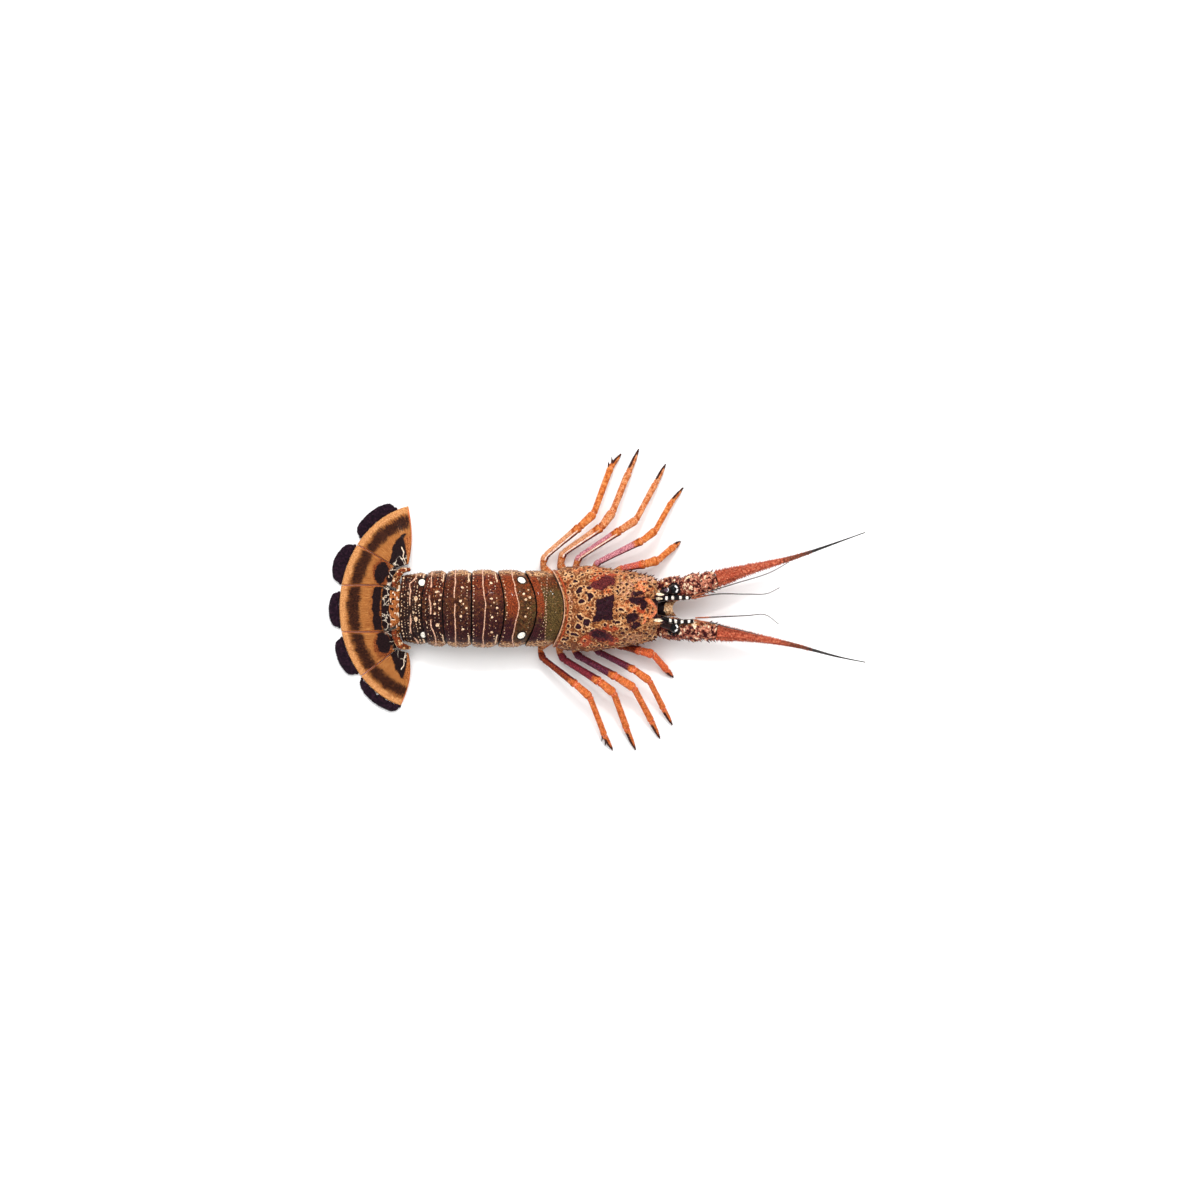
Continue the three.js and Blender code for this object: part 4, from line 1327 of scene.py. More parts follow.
        on_back = {
            "dark": most(trapeze, spots, 0.8 * ovals(points, front), 0.66 * low_patch, ahead),
            "plum": most(patches, 0.6 * ovals(points, [(636, 598, 9, 8), (633, 621, 8, 8)])),
            "rust": most(
                ovals(points, [(604, 578, 14, 3.6, 10), (640, 609, 4, 4)]),
                0.8 * ovals(points, [(586, 640, 6, 5), (612, 640, 6, 4), (610, 628, 8, 3)]),
                0.75 * band(back, 2.4, 4.0, 0.6),
            ),
            "orange": most(
                ovals(points, warm), 0.5 * ovals(points, some), 0.6 * band(back, 4.4, 5.6, 0.6)
            ),
            "golden": most(
                ovals(points, [(606, 568.5, 9, 2.4), (600, 624.5, 13, 2.4, 4)]),
                0.45 * ovals(points, [(582, 610, 9, 10)]),
            ),
            "amber": 0.78 * ovals(points, front_warm),
            # darker towards the rear, and on the lower side as painted shade
            "umber": 0.4 * smoothstep(x, 32, 4) + 0.14 * smoothstep(x, 4, -12)
            + 0.26 * smoothstep(y, -4, -18),
            "olive": 0.55 * smoothstep(y, -14, -24) * smoothstep(x, 0, -14),
            "rims": most(0.85 * ovals(points, wide), 0.6 * band(stud, 1.0, 2.1, 0.4) * bare),
            "vee": band(vee, -1.8, 0.6, 0.6) * band(y, -13, 21, 1),
            "pale": 0.75 * band(back, -0.6, 0.9, 0.4),
        }
        return {name: mask * over for name, mask in on_back.items()} | {
            "pink": most(ovals(points, rose), 0.55 * ovals(points, faint_rose)),
            "mottled": smoothstep(z, 12, 20),
        }

    def thorns(self) -> Thorns:
        """The rows of thorns of the solid."""
        thorns = Thorns(8, 3)
        wobble = park_miller(Seed.THORN_ROWS)
        for side in (-1, 1):
            for number, row in enumerate(self.rows):
                x = -14.0 + 3 * number
                while x < 46 - number:
                    px = x + 1.5 * wobble()
                    py = side * (row + 1.2 * wobble()) * min(1, (62 - px) / 40)
                    grow = self.grown(px)
                    lean = np.array((0.75, py / 46, 0.9))
                    size = lerp(1.7, 3.9, grow), lerp(1.1, 1.6, grow)
                    thorns.add(self.root(px, py), lean, *size, 0.5)
                    x += self.row_pitch
        return thorns

    def strewn(self) -> Thorns:
        """Smaller thorns all over the shell, larger towards the head."""
        small = Thorns(6, 1)
        draw = np.random.default_rng(Seed.STUD_SIZES)
        for root, out in zip(*self.studs, strict=True):
            grow = self.grown(root[0])
            length = lerp(1.2, 3.0, grow) * draw.uniform(0.8, 1.2)
            small.add(root, out * 0.9 + (0.8, 0, 0), length, lerp(0.85, 1.25, grow), 0.3)
        spans = (self.rear_cap + 0.05, 0.94, 0.0, DOME_SHARE)
        for root, out in zip(*scatter(self.shape, spans, 2200, 2.9, Seed.SPINULES), strict=True):
            grow = self.grown(root[0])
            length = lerp(0.55, 1.2, grow) * draw.uniform(0.8, 1.3)
            small.add(root, out * 0.8 + (0.8, 0, 0), length, lerp(0.5, 0.75, grow), 0.2)
        return small

    def horn(self, side: Side) -> Item:
        """One of the pair of horns that stand forward over the eyes."""
        x, y, length, rise, lean = self.horn_line
        z = self.root(x, y)[2] - self.horn_sunk
        line = [
            (x + length * u, side.value * (y + lean * u), z + rise * u**1.4)
            for u in (0, 0.35, 0.7, 1)
        ]
        r = self.horn_radius
        tube = Tube(line, (r, r * 0.86, r * 0.6, 0.3))

        def masks(along: Array, across: Array, points: Array) -> Masks:
            """A mottled horn, dark inside and in front, with pale bars of painted highlight on its back."""
            inner = smoothstep(np.abs(points[:, 1]), 12.4, 10.6)
            high = facing_up(across)
            return {
                "dark": most(inner * smoothstep(along, 0.35, 0.5), smoothstep(along, 0.72, 0.85)),
                "cream": ovals(points, self.bars) * high,
                "mottled": np.ones(len(along)),
            }

        return Skin("horn", self.horn_cells, tube.shape, self.horn_relief, masks).build()

    def brow_spine(self, side: Side) -> Item:
        """The short spine between a horn and the middle."""
        x, y, z, length, rise, radius = self.brow
        line = [(x + length * u, side.value * y, z + rise * u) for u in (0, 0.5, 1)]
        tube = Tube(line, (radius, radius * 0.9, 0.5), ends=(0.02, 0.05))

        def masks(along: Array, across: Array, points: Array) -> Masks:
            """A black spine with a cream back, a painted highlight."""
            high = facing_up(across)
            return {"dark": np.ones(len(along)), "cream": ovals(points, self.bars) * high}

        return Skin("brow_spine", self.brow_cells, tube.shape, self.horn_relief, masks).build()

    @staticmethod
    def horn_relief(along: Array, across: Array, points: Array) -> Array:
        """Fine ridges along a horn, in millimetres."""
        return 0.2 * LUMPS.at(points, 1.8) + 0.06 * np.cos(across * ROUND * 9) * (1 - along)

    def build(self) -> None:
        """Model and dress the shell."""
        shell = Skin("carapace_skin", self.cells, self.shape, self.relief, self.masks).build()
        parts = [self.horn(side) for side in Side] + [self.brow_spine(side) for side in Side]
        for name, thorns in (("thorns", self.thorns()), ("spinules", self.strewn())):
            roots = np.array(thorns.rows)[:, :3]
            masks = self.masks(roots[:, 0], roots[:, 0], roots)
            parts.append(thorns.build("carapace_" + name, masks))
        Workshop.join(shell, *parts)
        deliver(shell, CARAPACE_SHELL, Slot.CARAPACE, "carapace")


# ------------------------------------------------------------------ tail


@dataclass(frozen=True)
class RingLook:
    """What one tail ring shows: its colours and the pixels of its marks."""

    line: tuple[tuple[float, float], ...]
    rust: tuple[float, float, float]  # from and to share of its length, and how strong
    plum: float
    night: float
    olive: float = 0.0
    bright: float = 0.7  # how clearly the rows of dots show
    ovals: tuple[tuple[float, ...], ...] = ()
    dots: tuple[tuple[float, ...], ...] = ()
    rows: tuple[tuple[float, float, float], ...] = ()  # share, spacing, radius in millimetres


RING_LOOKS = (
    RingLook(
        ((548, 575), (547.2, 592), (546.4, 608), (547, 622), (546, 634)),
        (0.7, 1.0, 0.85),
        0.12,
        0.0,
        0.95,
        rows=((0.68, 2.4, 0.55), (0.62, 3.6, 0.4), (0.3, 5.5, 0.35)),
    ),
    RingLook(
        ((512, 571), (515.4, 585), (520.4, 608), (517, 621), (513.6, 636)),
        (0.56, 0.94, 0.95),
        0.2,
        0.05,
        0.42,
        ovals=((522.2, 580.3, 4.0, 2.7, -28), (522, 635.2, 4.0, 2.7, 32)),
        dots=((528.7, 608, 1), (526, 616.5, 1.1), (524.5, 594, 1.2), (530.5, 597.5, 1.3),
              (526.5, 599.5, 1.2), (529, 590, 0.8)),
        rows=((0.93, 2.6, 0.5), (0.18, 4.2, 0.4)),
    ),
    RingLook(
        ((483.4, 573), (483.9, 583), (485.3, 595.8), (487.3, 607), (486, 613), (484.2, 637)),
        (0.62, 0.95, 0.35),
        0.75,
        0.24,
        dots=((492, 583, 1.6, 1.0, -30), (492.6, 598.7, 1.1), (498, 608, 1.2), (493, 617, 1.2),
              (492.6, 632, 1.4, 1.0), (495, 602.5, 0.8)),
        rows=((0.95, 2.4, 0.5), (0.22, 3.2, 0.5), (0.42, 3.8, 0.45)),
    ),
    RingLook(
        ((456.6, 574), (456.5, 583), (455.6, 594.5), (456.5, 604.7), (456.4, 614), (456.9, 634)),
        (0.6, 0.95, 0.35),
        0.7,
        0.3,
        0.35,
        dots=((463.5, 587.5, 1.5, 0.9, -20), (461.5, 601, 1.3), (467.5, 608, 1.2), (462, 616, 1.2),
              (464, 629, 1.5, 0.9), (464.5, 604, 0.8)),
        rows=((0.15, 2.8, 0.5), (0.85, 3.0, 0.4), (0.36, 3.6, 0.45)),
    ),
    RingLook(
        ((433, 580), (432, 587), (430.7, 599.6), (432, 608), (431.4, 616), (433.3, 628.3), (436.5, 636)),
        (0.6, 0.95, 0.1),
        0.75,
        0.6,
        dots=((438, 592, 1.9, 1.1, 0), (436, 604, 1.3), (440.6, 608.5, 1.2), (436, 613.5, 1.2),
              (438.5, 625, 1.7), (441, 600, 1), (442, 595, 1.1)),
        rows=((0.2, 2.4, 0.6), (0.38, 3.0, 0.5), (0.82, 2.6, 0.6), (0.68, 3.2, 0.4)),
    ),
    RingLook(
        ((417.3, 577.3), (410.6, 584), (411.8, 592), (411, 601), (412, 610), (411.6, 631.5), (418.6, 641.7)),
        (0.6, 0.95, 0.0),
        0.5,
        0.95,
        ovals=((422.9, 582.6, 3.3, 3.2), (424.3, 634.6, 2.7, 2.8)),
        dots=((417, 598.5, 1.8, 2.4), (417, 619, 1.8, 2.4), (414.4, 612.5, 1.2), (421, 605, 1)),
        rows=((0.12, 2.5, 0.6), (0.26, 2.3, 0.65), (0.4, 2.6, 0.5), (0.62, 2.4, 0.6),
              (0.76, 2.5, 0.55), (0.9, 2.6, 0.75)),
    ),
)


@dataclass
class Tail:
    """The six rings of the tail, each with side flaps, thorns and swimming legs."""

    edges: Stations = field(
        default_factory=lambda: Stations(
            "x lean half top mid low flap",
            (
                (-27.3, 10.1, 31.6, 45.8, 24, 15, 14), (-50.2, 10.2, 32.4, 48.4, 24, 13, 6),
                (-77.4, 5.9, 32.8, 50.6, 25, 16, 7), (-105, 0, 32.8, 51, 25.5, 17, 8),
                (-129.6, -3.4, 32.4, 47.6, 23, 14, 6), (-147.5, -4.7, 31.2, 40.6, 19, 9.5, 4),
                (-167.2, -2.5, 28, 25.4, 13, 6.5, 4),
            ),
        )
    )
    cells: tuple[int, int] = (88, 300)
    ring_length: float = 26.0  # about what each ring shows, for the rows of dots
    paddle_cells: tuple[int, int] = (26, 48)
    cap: float = 0.05
    tuck: float = 0.945
    groove_depth: float = 0.55
    notch: tuple[float, ...] = (0.02, 0.03, 0.05, 0.08, 0.09, 0.03)  # how far flaps draw in behind
    front_notch: float = 0.4  # the same in front, as a share of that

    def section(self, index: int, share: Array) -> dict[str, Array]:
        """The section of a ring at shares of its length."""
        section = self.edges.read(index + share)
        x = self.edges.columns["x"]
        section["x"] = lerp(x[index] - GAP, x[index + 1], share)
        tuck = lerp(self.tuck, 1, smoothstep(share, 0, 0.32))
        tuck = tuck - 0.012 * smoothstep(share, 0.85, 1)
        lobe = np.sin(np.pi * np.minimum(1, share * 0.86 + 0.08))
        near_end = np.abs(2 * share - 1) ** 4 * np.where(share < 0.5, self.front_notch, 1)
        section["half"] = section["half"] * tuck * (1 - self.notch[index] * near_end)
        section["top"] = section["mid"] + (section["top"] - section["mid"]) * tuck
        section["flap"] = lerp(section["mid"] * 0.8, section["flap"], lobe)
        return section

    def sizes(self, index: int, share: float, names: str) -> list[float]:
        """Some of a ring's sizes at one share of its length."""
        section = self.section(index, one(share))
        return [float(section[name][0]) for name in names.split()]

    def shape(self, index: int) -> Shape:
        """The form of one ring."""

        def places(along: Array, across: Array) -> Array:
            """Places on the ring, closed by its two ends."""
            section = self.section(index, middle_share(along, self.cap))
            y, z = over_dome(section, across)
            inward, sign = under_share(across)
            mid, flap = section["mid"], section["flap"]
            belly = np.maximum(section["low"], flap)
            low = np.maximum(section["low"], flap + 1)
            widths = np.array((1, 0.985, 0.93, 0.87, 0.81, 0.7, 0.35, 0))
            heights = np.stack(
                [
                    mid,
                    lerp(mid, flap, 0.45),
                    lerp(mid, flap, 0.85),
                    flap,
                    lerp(flap, belly, 0.3) + 0.6,
                    low,
                    low + 0.7,
                    low + 1.2,
                ],
                -1,
            )
            at = inward * (len(widths) - 1)
            step = np.minimum(np.floor(at).astype(int), len(widths) - 2)
            rows = np.arange(len(at))
            part = at - step
            low_y = sign * section["half"] * lerp(widths[step], widths[step + 1], part)
            low_z = lerp(heights[rows, step], heights[rows, step + 1], part)
            below = across > DOME_SHARE
            ring = lean_back(section, np.where(below, low_y, y), np.where(below, low_z, z))
            ends = [self.section(index, one(end)) for end in (0.0, 1.0)]
            spans = [(e["x"][0], e["x"][0] - e["lean"][0], e["mid"][0]) for e in ends]
            front = (min(spans[0][:2]) - 1, 0, spans[0][2])
            rear = (max(spans[1][:2]) + 1, 0, spans[1][2])
            centre = np.where((along < 0.5)[:, None], front, rear)
            closing = end_share(along, self.cap)
            return centre + (ring - centre) * closing[:, None]

        return places

    def relief(self, index: int) -> Relief:
        """The grooves and lumps of one ring."""

        def height(along: Array, across: Array, points: Array) -> Array:
            """How far the ring's skin is raised, in millimetres."""
            share = middle_share(along, self.cap)
            over = smoothstep(points[:, 2], 14, 24)
            off = beside_line(points, RING_LOOKS[index].line)
            raised = 0.16 * LUMPS.at(points, 4) + 0.08 * LUMPS.at(points, 1.3)
            raised -= self.groove_depth * dent(off - 1.1, 1.1) * over
            raised += 0.3 * dent(off + 0.3, 0.9) * over
            raised += 0.35 * smoothstep(share, 0.9, 0.97)
            side = 1 - smoothstep(points[:, 2], 16, 26)
            raised += side * (0.6 * LUMPS.at(points, 4.5) + 0.35 * LUMPS.at(points, 2.2))
            return raised * smoothstep(end_share(along, self.cap), 0.6, 1)

        return height

    def masks(self, index: int) -> Marks:
        """Where one ring's colours lie."""
        look = RING_LOOKS[index]

        def values(along: Array, across: Array, points: Array) -> Masks:
            """The ring's values for its finish."""
            share = middle_share(along, self.cap)
            x, y, z = points.T
            over = smoothstep(z, 20, 30) if index < 5 else smoothstep(z, 9, 15)
            lower = smoothstep(y, 6, -22)
            upper = smoothstep(y, 8, 24)
            off = beside_line(points, look.line)
            behind = smoothstep(-off, 0, 1.6)
            draw = np.random.default_rng(Seed.RING_DOTS + index)
            dots = ovals(points, look.dots)
            for place, spacing, radius in look.rows:
                ys = np.arange(-29, 29, spacing)
                ys = ys + draw.uniform(-0.3, 0.3, len(ys)) * spacing
                shares = place + draw.uniform(-0.02, 0.02, len(ys))
                sizes = radius * draw.uniform(0.7, 1.25, len(ys))
                keep = draw.random(len(ys)) > 0.12
                for py, ps, size in zip(ys[keep], shares[keep], sizes[keep], strict=True):
                    reach = np.hypot((share - ps) * self.ring_length, y - py) / size
                    dots = np.maximum(dots, look.bright * (1 - smoothstep(reach, 0.6, 1.5)))
            big = ovals(points, look.ovals)
            halo = ovals(points, [widened(mark) for mark in look.ovals])
            side = smoothstep(np.abs(y), *((25, 29) if index == 0 else (25, 30.5))) * band(z, 4, 40, 4)
            start, end, strong = look.rust
            warm = strong * band(share, start, end, 0.05) * (1 - 0.75 * lower)
            warm = most(warm, (0.6 + 0.2 * upper) * smoothstep(y, -6, 14) * (1 - look.olive))
            thin = 0.028 if index < 3 else 0.05
            warm = most(warm, 0.42 * upper * (index == 0))
            # painted shade: near-black seams at both ends of a ring, where the rings tuck under each other
            seam = most(smoothstep(share, 0.984, 0.995), smoothstep(share, thin, thin * 0.4))
            flap_line = band(share + 0.02 * LUMPS.at(points, 3), 0.09, 0.15, 0.02)
            flap_line = flap_line * band(np.abs(y), 22, 30, 1.5) * (index > 1)
            whole = smoothstep(LUMPS.at(points + (0, 0, 30), 7), -0.55, -0.3)
            if index < 3:
                whole = np.ones(len(x)) if index else 0.8 * smoothstep(np.sin(2.6 * y), -0.1, 0.5)
            return {
                "olive": look.olive * over * (1 - 0.6 * upper * (index == 0)),
                "rust": warm * over,
                "plum": most(look.plum * (0.55 + 0.5 * lower), 0.95 * lower * behind) * over,
                "night": look.night * (0.75 + 0.3 * lower) * over,
                "side": (0.8 + 0.3 * LUMPS.at(points, 6)) * side * (1 - 0.3 * look.night),
                "specked": over,
                "dots": most(dots * over, 0.85 * flap_line),
                "line": band(off + 0.5 * LUMPS.at(points, 5), -0.65, 0.3, 0.35) * over * whole,
                "rim": most(seam, halo * (1 - big)),
                "white": big,
            }

        return values

    def paddle(self, index: int, side: Side) -> Item:
        """A small leaf-shaped swimming leg under the tail."""
        x, lean, half, low, flap = self.sizes(index, 0.4, "x lean half low flap")
        out, height, place = half * 0.42, max(low, flap + 1) + 1, x - lean
        line = [
            (place, side.value * out, height + 1.5),
            (place - 4, side.value * (out + 2), height - 1.8),
            (place - 10, side.value * (out + 2.5), height - 4.4),
        ]
        tube = Tube(line, (2.4, 5, 1.6), 0.3, (0.05, 0.12))

        def masks(along: Array, across: Array, points: Array) -> Masks:
            """A tan leaf with a dark edge."""
            edge = smoothstep(np.abs(np.cos(across * ROUND)), 0.8, 0.97)
            return {"side": np.full(len(along), 0.8), "rim": 0.8 * edge}

        def veins(along: Array, across: Array, points: Array) -> Array:
            """Fine ribs of a leaf, in millimetres."""
            return 0.08 * np.cos(across * ROUND * 12) * smoothstep(along, 0.1, 0.4)

        return Skin("paddle", self.paddle_cells, tube.shape, veins, masks).build()

    def side_thorns(self, index: int) -> Item:
        """The thorns at the rear corners of a ring's flaps, and small ones by them."""
        thorns = Thorns(8, 3)
        for side in Side:
            for share, down, length, radius in (
                (0.86, 0.7, 3.6, 1.5), (0.7, 0.92, 2.0, 0.9), (0.95, 0.4, 1.8, 0.8),
            ):
                mid, flap, half = self.sizes(index, share, "mid flap half")
                section = self.section(index, one(share))
                y = one(side.value * half * 0.93)
                root = lean_back(section, y, one(lerp(mid, flap, down)))[0]
                thorns.add(root, np.array((-0.8, side.value * 0.5, -0.35)), length, radius)
            for share in np.linspace(0.12, 0.9, 7):
                mid, half = self.sizes(index, share, "mid half")
                section = self.section(index, one(share))
                root = lean_back(section, one(side.value * half * 0.985), one(mid - 1.0))[0]
                thorns.add(root, np.array((-0.9, side.value, -0.1)), 1.5, 0.6)
        return thorns.build("flap_thorns", {"side": 1.0})

    def build(self) -> None:
        """Model and dress the rings."""
        for index in range(len(RING_LOOKS)):
            name = f"tail_ring_{index + 1}"
            skin = Skin(
                name + "_skin", self.cells, self.shape(index), self.relief(index), self.masks(index)
            )
            ring = skin.build()
            parts = [self.side_thorns(index)]
            if 1 <= index <= 4:
                parts += [self.paddle(index, side) for side in Side]
            Workshop.join(ring, *parts)
            deliver(ring, TAIL_SHELL, Slot.TAIL, name)


# ------------------------------------------------------------------ tail fan


@dataclass(frozen=True)
class BladeEdge:
    """One side of a side blade: its root, where it meets the rim, and what pulls it out."""

    root: tuple[float, float]
    rim_y: float
    bow: tuple[float, float] | None = None

    def at(self, rim_x: float, share: Array) -> Array:
        """Places along the side, at shares from its root to the rim."""
        root, rim = np.array(self.root), np.array((rim_x, self.rim_y))
        if self.bow is None:
            return lerp(root, rim, share)
        pull = np.array(self.bow)
        return (1 - share) ** 2 * root + 2 * share * (1 - share) * pull + share**2 * rim


@dataclass
class Fan:
    """The tail fan: five blades, their knuckles and the bristle pads along its rim."""

    x: float = -147.2
    length: float = 71.7
    left: float = 88.5
    right: float = 85.9
    crown: float = 19.0
    bend: float = 1.25
    rim: float = 2.1
    gap: float = 0.45
    edge: float = 1.7
    root: float = 3.0
    cells: tuple[int, int] = (112, 240)
    ribs_across: int = 27
    telson: tuple[float, float, float] = (19.7, -168.6, 13.5)  # half, neck x, neck half
    telson_root: float = 9.0
    telson_horny: float = 0.4
    # the roll at the middle blade's root: its line, half widths, and height for its width
    hinge: tuple[tuple[float, float, float], ...] = (
        (-168.6, 23.5, 11), (-167.6, 16, 14), (-166.9, 8, 16), (-166.6, 0, 16.6), (-166.9, -8, 16),
        (-167.6, -16, 14), (-168.6, -23.5, 11),
    )
    hinge_wide: tuple[float, ...] = (1.8, 2.5, 2.8, 2.5, 1.8)
    hinge_tall: float = 1.7
    hinge_cells: tuple[int, int] = (150, 40)
    inner_in: BladeEdge = BladeEdge((-172.3, 16.9), 19.9, (-175, 21.6))
    inner_root: tuple[float, float] = (-169.6, 34.7)
    seam: tuple[float, float] = (54.3, 57.4)  # left, right
    outer_root: tuple[float, float] = (-169.2, 35.1)
    outer_out: tuple[float, float] = (-159.6, 37.6)
    outer_bow: tuple[float, float] = (-154, 58)
    tip: tuple[float, float] = (87, 82.6)  # left, right
    knuckle: tuple[tuple[float, float, float], ...] = (
        (-171.2, 17.5, 17.2), (-169.8, 25, 16.7), (-165.4, 31.6, 15.9), (-157.5, 33.4, 14.4),
    )
    knuckle_wide: tuple[float, ...] = (2.4, 3, 2.9, 1.3)
    knuckle_cells: tuple[int, int] = (70, 40)
    pad_cells: tuple[int, int] = (150, 64)
    pad_cap: float = 0.03
    pad_height: float = 4.6
    bristle_low: float = 1.7  # bristles whose tips would be lower are left off
    pad_gap: float = -0.4  # how far pads stand off the rim, less than 0 where they lap it
    # for each pad its two ends in degrees from the middle, its half widths and how torn it is
    pads: dict[str, tuple[float, float, tuple[float, ...], float]] = field(
        default_factory=lambda: {
            "fringe_outer_left": (42.9, 71.3, (4.6, 5.1, 4.4), 0.35),
            "fringe_inner_left": (14.1, 36.9, (4.5, 6, 4.2), 0.2),
            "fringe_telson": (-10.5, 9, (3.6, 4.5, 3.6), 0.1),
            "fringe_inner_right": (-16.8, -39.2, (4.1, 5.1, 4.3), 0.3),
            "fringe_outer_right": (-43.6, -74, (3.2, 4.3, 3.8), 1.0),
        }
    )
    brown: tuple[float, float] = (7.3, 17.6)  # distances of the colour bands inside the rim
    black: tuple[float, float] = (28.6, 35.5)

    def half(self, y: Array) -> Array:
        """The fan's half width on the side of Y."""
        return np.where(np.asarray(y) > 0, self.left, self.right)

    def reach(self, points: Array) -> Array:
        """How far points lie out from the fan's centre, 1 being its rim."""
        dx, y = points[:, 0] - self.x, points[:, 1]
        return np.hypot(dx / self.length, y / self.half(y))

    def inside(self, points: Array) -> Array:
        """How far points lie inside the rim, in millimetres."""
        reach = np.maximum(self.reach(points), 1e-3)
        return np.hypot(points[:, 0] - self.x, points[:, 1]) * (1 / reach - 1)

    def height(self, x: Array, y: Array) -> Array:
        """Middle height of the fan above points of its plan."""
        reach = np.minimum(1, self.reach(np.stack([x, y], -1)))
        return self.rim + self.crown * (1 - reach) ** self.bend

    def rim_x(self, y: Array) -> Array:
        """Where the rim lies at a distance from the middle."""
        share = np.maximum(0, 1 - (y / self.half(y)) ** 2)
        return self.x - self.length * np.sqrt(share)

    def blade(self, plan: Shape, root: float, horny: float) -> Shape:
        """The form of a blade from its plan: thick at its root and thin at the rim."""

        def places(along: Array, across: Array) -> Array:
            """Places on the blade, over its top and back under it."""
            top = across < 0.5
            share = over_and_back(across)
            flat = plan(along, share)
            border = np.clip(np.minimum(share, 1 - share) * 14, 0, 1)
            ends = round_end(along, 0.03, 0.02)
            thick = lerp(root, self.edge, np.minimum(1, along / horny)) / 2
            thick = thick * np.sqrt(1 - (1 - border) ** 2) * ends
            z = self.height(flat[:, 0], flat[:, 1]) + np.where(top, thick, -thick)
            return np.stack([flat[:, 0], flat[:, 1], z], -1)

        return places

    def telson_plan(self, along: Array, across: Array) -> Array:
        """The middle blade seen from above."""
        half, neck_x, neck_half = self.telson
        widen = np.sin(np.pi / 2 * np.minimum(1, along * 3.4))
        y = lerp(neck_half, half - self.gap / 2, widen) * (1 - 2 * across)
        return np.stack([lerp(neck_x, self.rim_x(y) + self.gap, along), y], -1)

    def side_plan(self, side: Side, inner: BladeEdge, outer: BladeEdge) -> Shape:
        """A side blade seen from above.

        Args:
            side: the animal's side.
            inner: the blade's side next to the middle.
            outer: its other side.

        Returns:
            Its plan, with the rim's own curve in it.
        """
        rim_x = [
            float(self.rim_x(np.array(side.value * edge.rim_y))) + self.gap for edge in (inner, outer)
        ]

        def plan(along: Array, across: Array) -> Array:
            """Places from above at shares along and across."""
            u, w = along[:, None], across[:, None]
            spot = lerp(inner.at(rim_x[0], u), outer.at(rim_x[1], u), w)
            rim_y = lerp(inner.rim_y, outer.rim_y, across)
            straight = lerp(rim_x[0], rim_x[1], across)
            bulge = self.rim_x(side.value * rim_y) + self.gap - straight
            return np.stack([spot[:, 0] + bulge * along**2, side.value * spot[:, 1]], -1)

        return plan

    def ribs(self, along: Array, across: Array, points: Array) -> Array:
        """Fine ribs along a blade and its gentle swell, in millimetres."""
        share = over_and_back(across)
        fine = 0.07 * np.cos(share * ROUND * self.ribs_across) * smoothstep(along, 0.25, 0.5)
        swell = 0.35 * np.cos(share * ROUND * 2.5) * smoothstep(along, 0.2, 0.6)
        rough = 0.45 * LUMPS.at(points, 2.2) * smoothstep(along, 0.4, 0.2)
        edge = round_end(along, 0.05, 0.05) * np.clip(np.minimum(share, 1 - share) * 12, 0, 1)
        return (fine + swell * 0.6 + rough) * edge * np.where(across < 0.5, 1, 0.3)

    def blade_masks(self, extra: Marks) -> Marks:
        """A blade's values: the bands along the rim, and what is its own."""

        def values(along: Array, across: Array, points: Array) -> Masks:
            """The blade's values for its finish."""
            share = over_and_back(across)
            d = self.inside(points)
            own = extra(along, share, points)  # where its own colours lie
            beside = np.minimum(share, 1 - share)
            streak = 0.5 + 0.5 * np.cos(share * ROUND * self.ribs_across + 3 * LUMPS.at(points, 9))
            away = d + 1.6 * (streak - 0.5) + 1.3 * LUMPS.at(points, 4)
            brown = band(away, *self.brown, 3.2) * (0.55 + 0.45 * np.minimum(1, 14 * beside))
            masks = {
                "glow": 0.9 * smoothstep(d + 0.8 * LUMPS.at(points, 5), 8.5, 3.5),
                "brown": brown,
                "seam": 0.62 * smoothstep(beside, 0.02, 0.008) * band(d, 1.5, 34, 2),
            }
            return masks | {name: np.maximum(0, mask) for name, mask in own.items()}

        return values

    @staticmethod
    def grains(points: Array) -> tuple[Array, Array]:
        """The pale beads and the dark pores of the ridge at the fan's root."""
        beads = band(LUMPS.at(points, 1.9), 0.4, 2, 0.1)
        return beads, band(LUMPS.at(points + 40, 2.1), -2, -0.5, 0.1)

    def telson_marks(self, along: Array, share: Array, points: Array) -> Masks:
        """The middle blade's own colours."""
        d = self.inside(points)
        y = points[:, 1]
        root = smoothstep(d, 34, 38)
        middle = dent(y, 5.5)
        wave = 1.2 * LUMPS.at(points, 5)
        ridge = 0.9 * smoothstep(d + wave, 42, 43.5) * band(np.abs(y), -1, 17, 1.5)
        beads, pores = self.grains(points)
        return {
            "dark": most(band(d + wave, *self.black, 1.4) * band(np.abs(y), -1, 18.4, 1), root),
            "curls": root * band(np.abs(y), 2.5, 20, 1.2) * band(d, 36.5, 43, 1),
            "rust": 0.5 * smoothstep(d, 22, 29) + root * middle * 0.7,
            "ridge": ridge * (1 - pores),
            "pale": 0.7 * beads * ridge,
        }

    def build_hinge(self) -> Item:
        """The beaded roll at the middle blade's root, under the last ring's rear edge."""
        tube = Tube(self.hinge, self.hinge_wide, self.hinge_tall, (0.05, 0.05))

        def masks(along: Array, across: Array, points: Array) -> Masks:
            """Orange-tan skin with pale beads and dark pores."""
            beads, pores = self.grains(points)
            return {"ridge": 0.9 * (1 - pores), "dark": pores, "pale": 0.8 * beads}

        beaded = lumpy((0.4, 1.9), (0.15, 0.9))
        return Skin("telson_hinge", self.hinge_cells, tube.shape, beaded, masks).build()

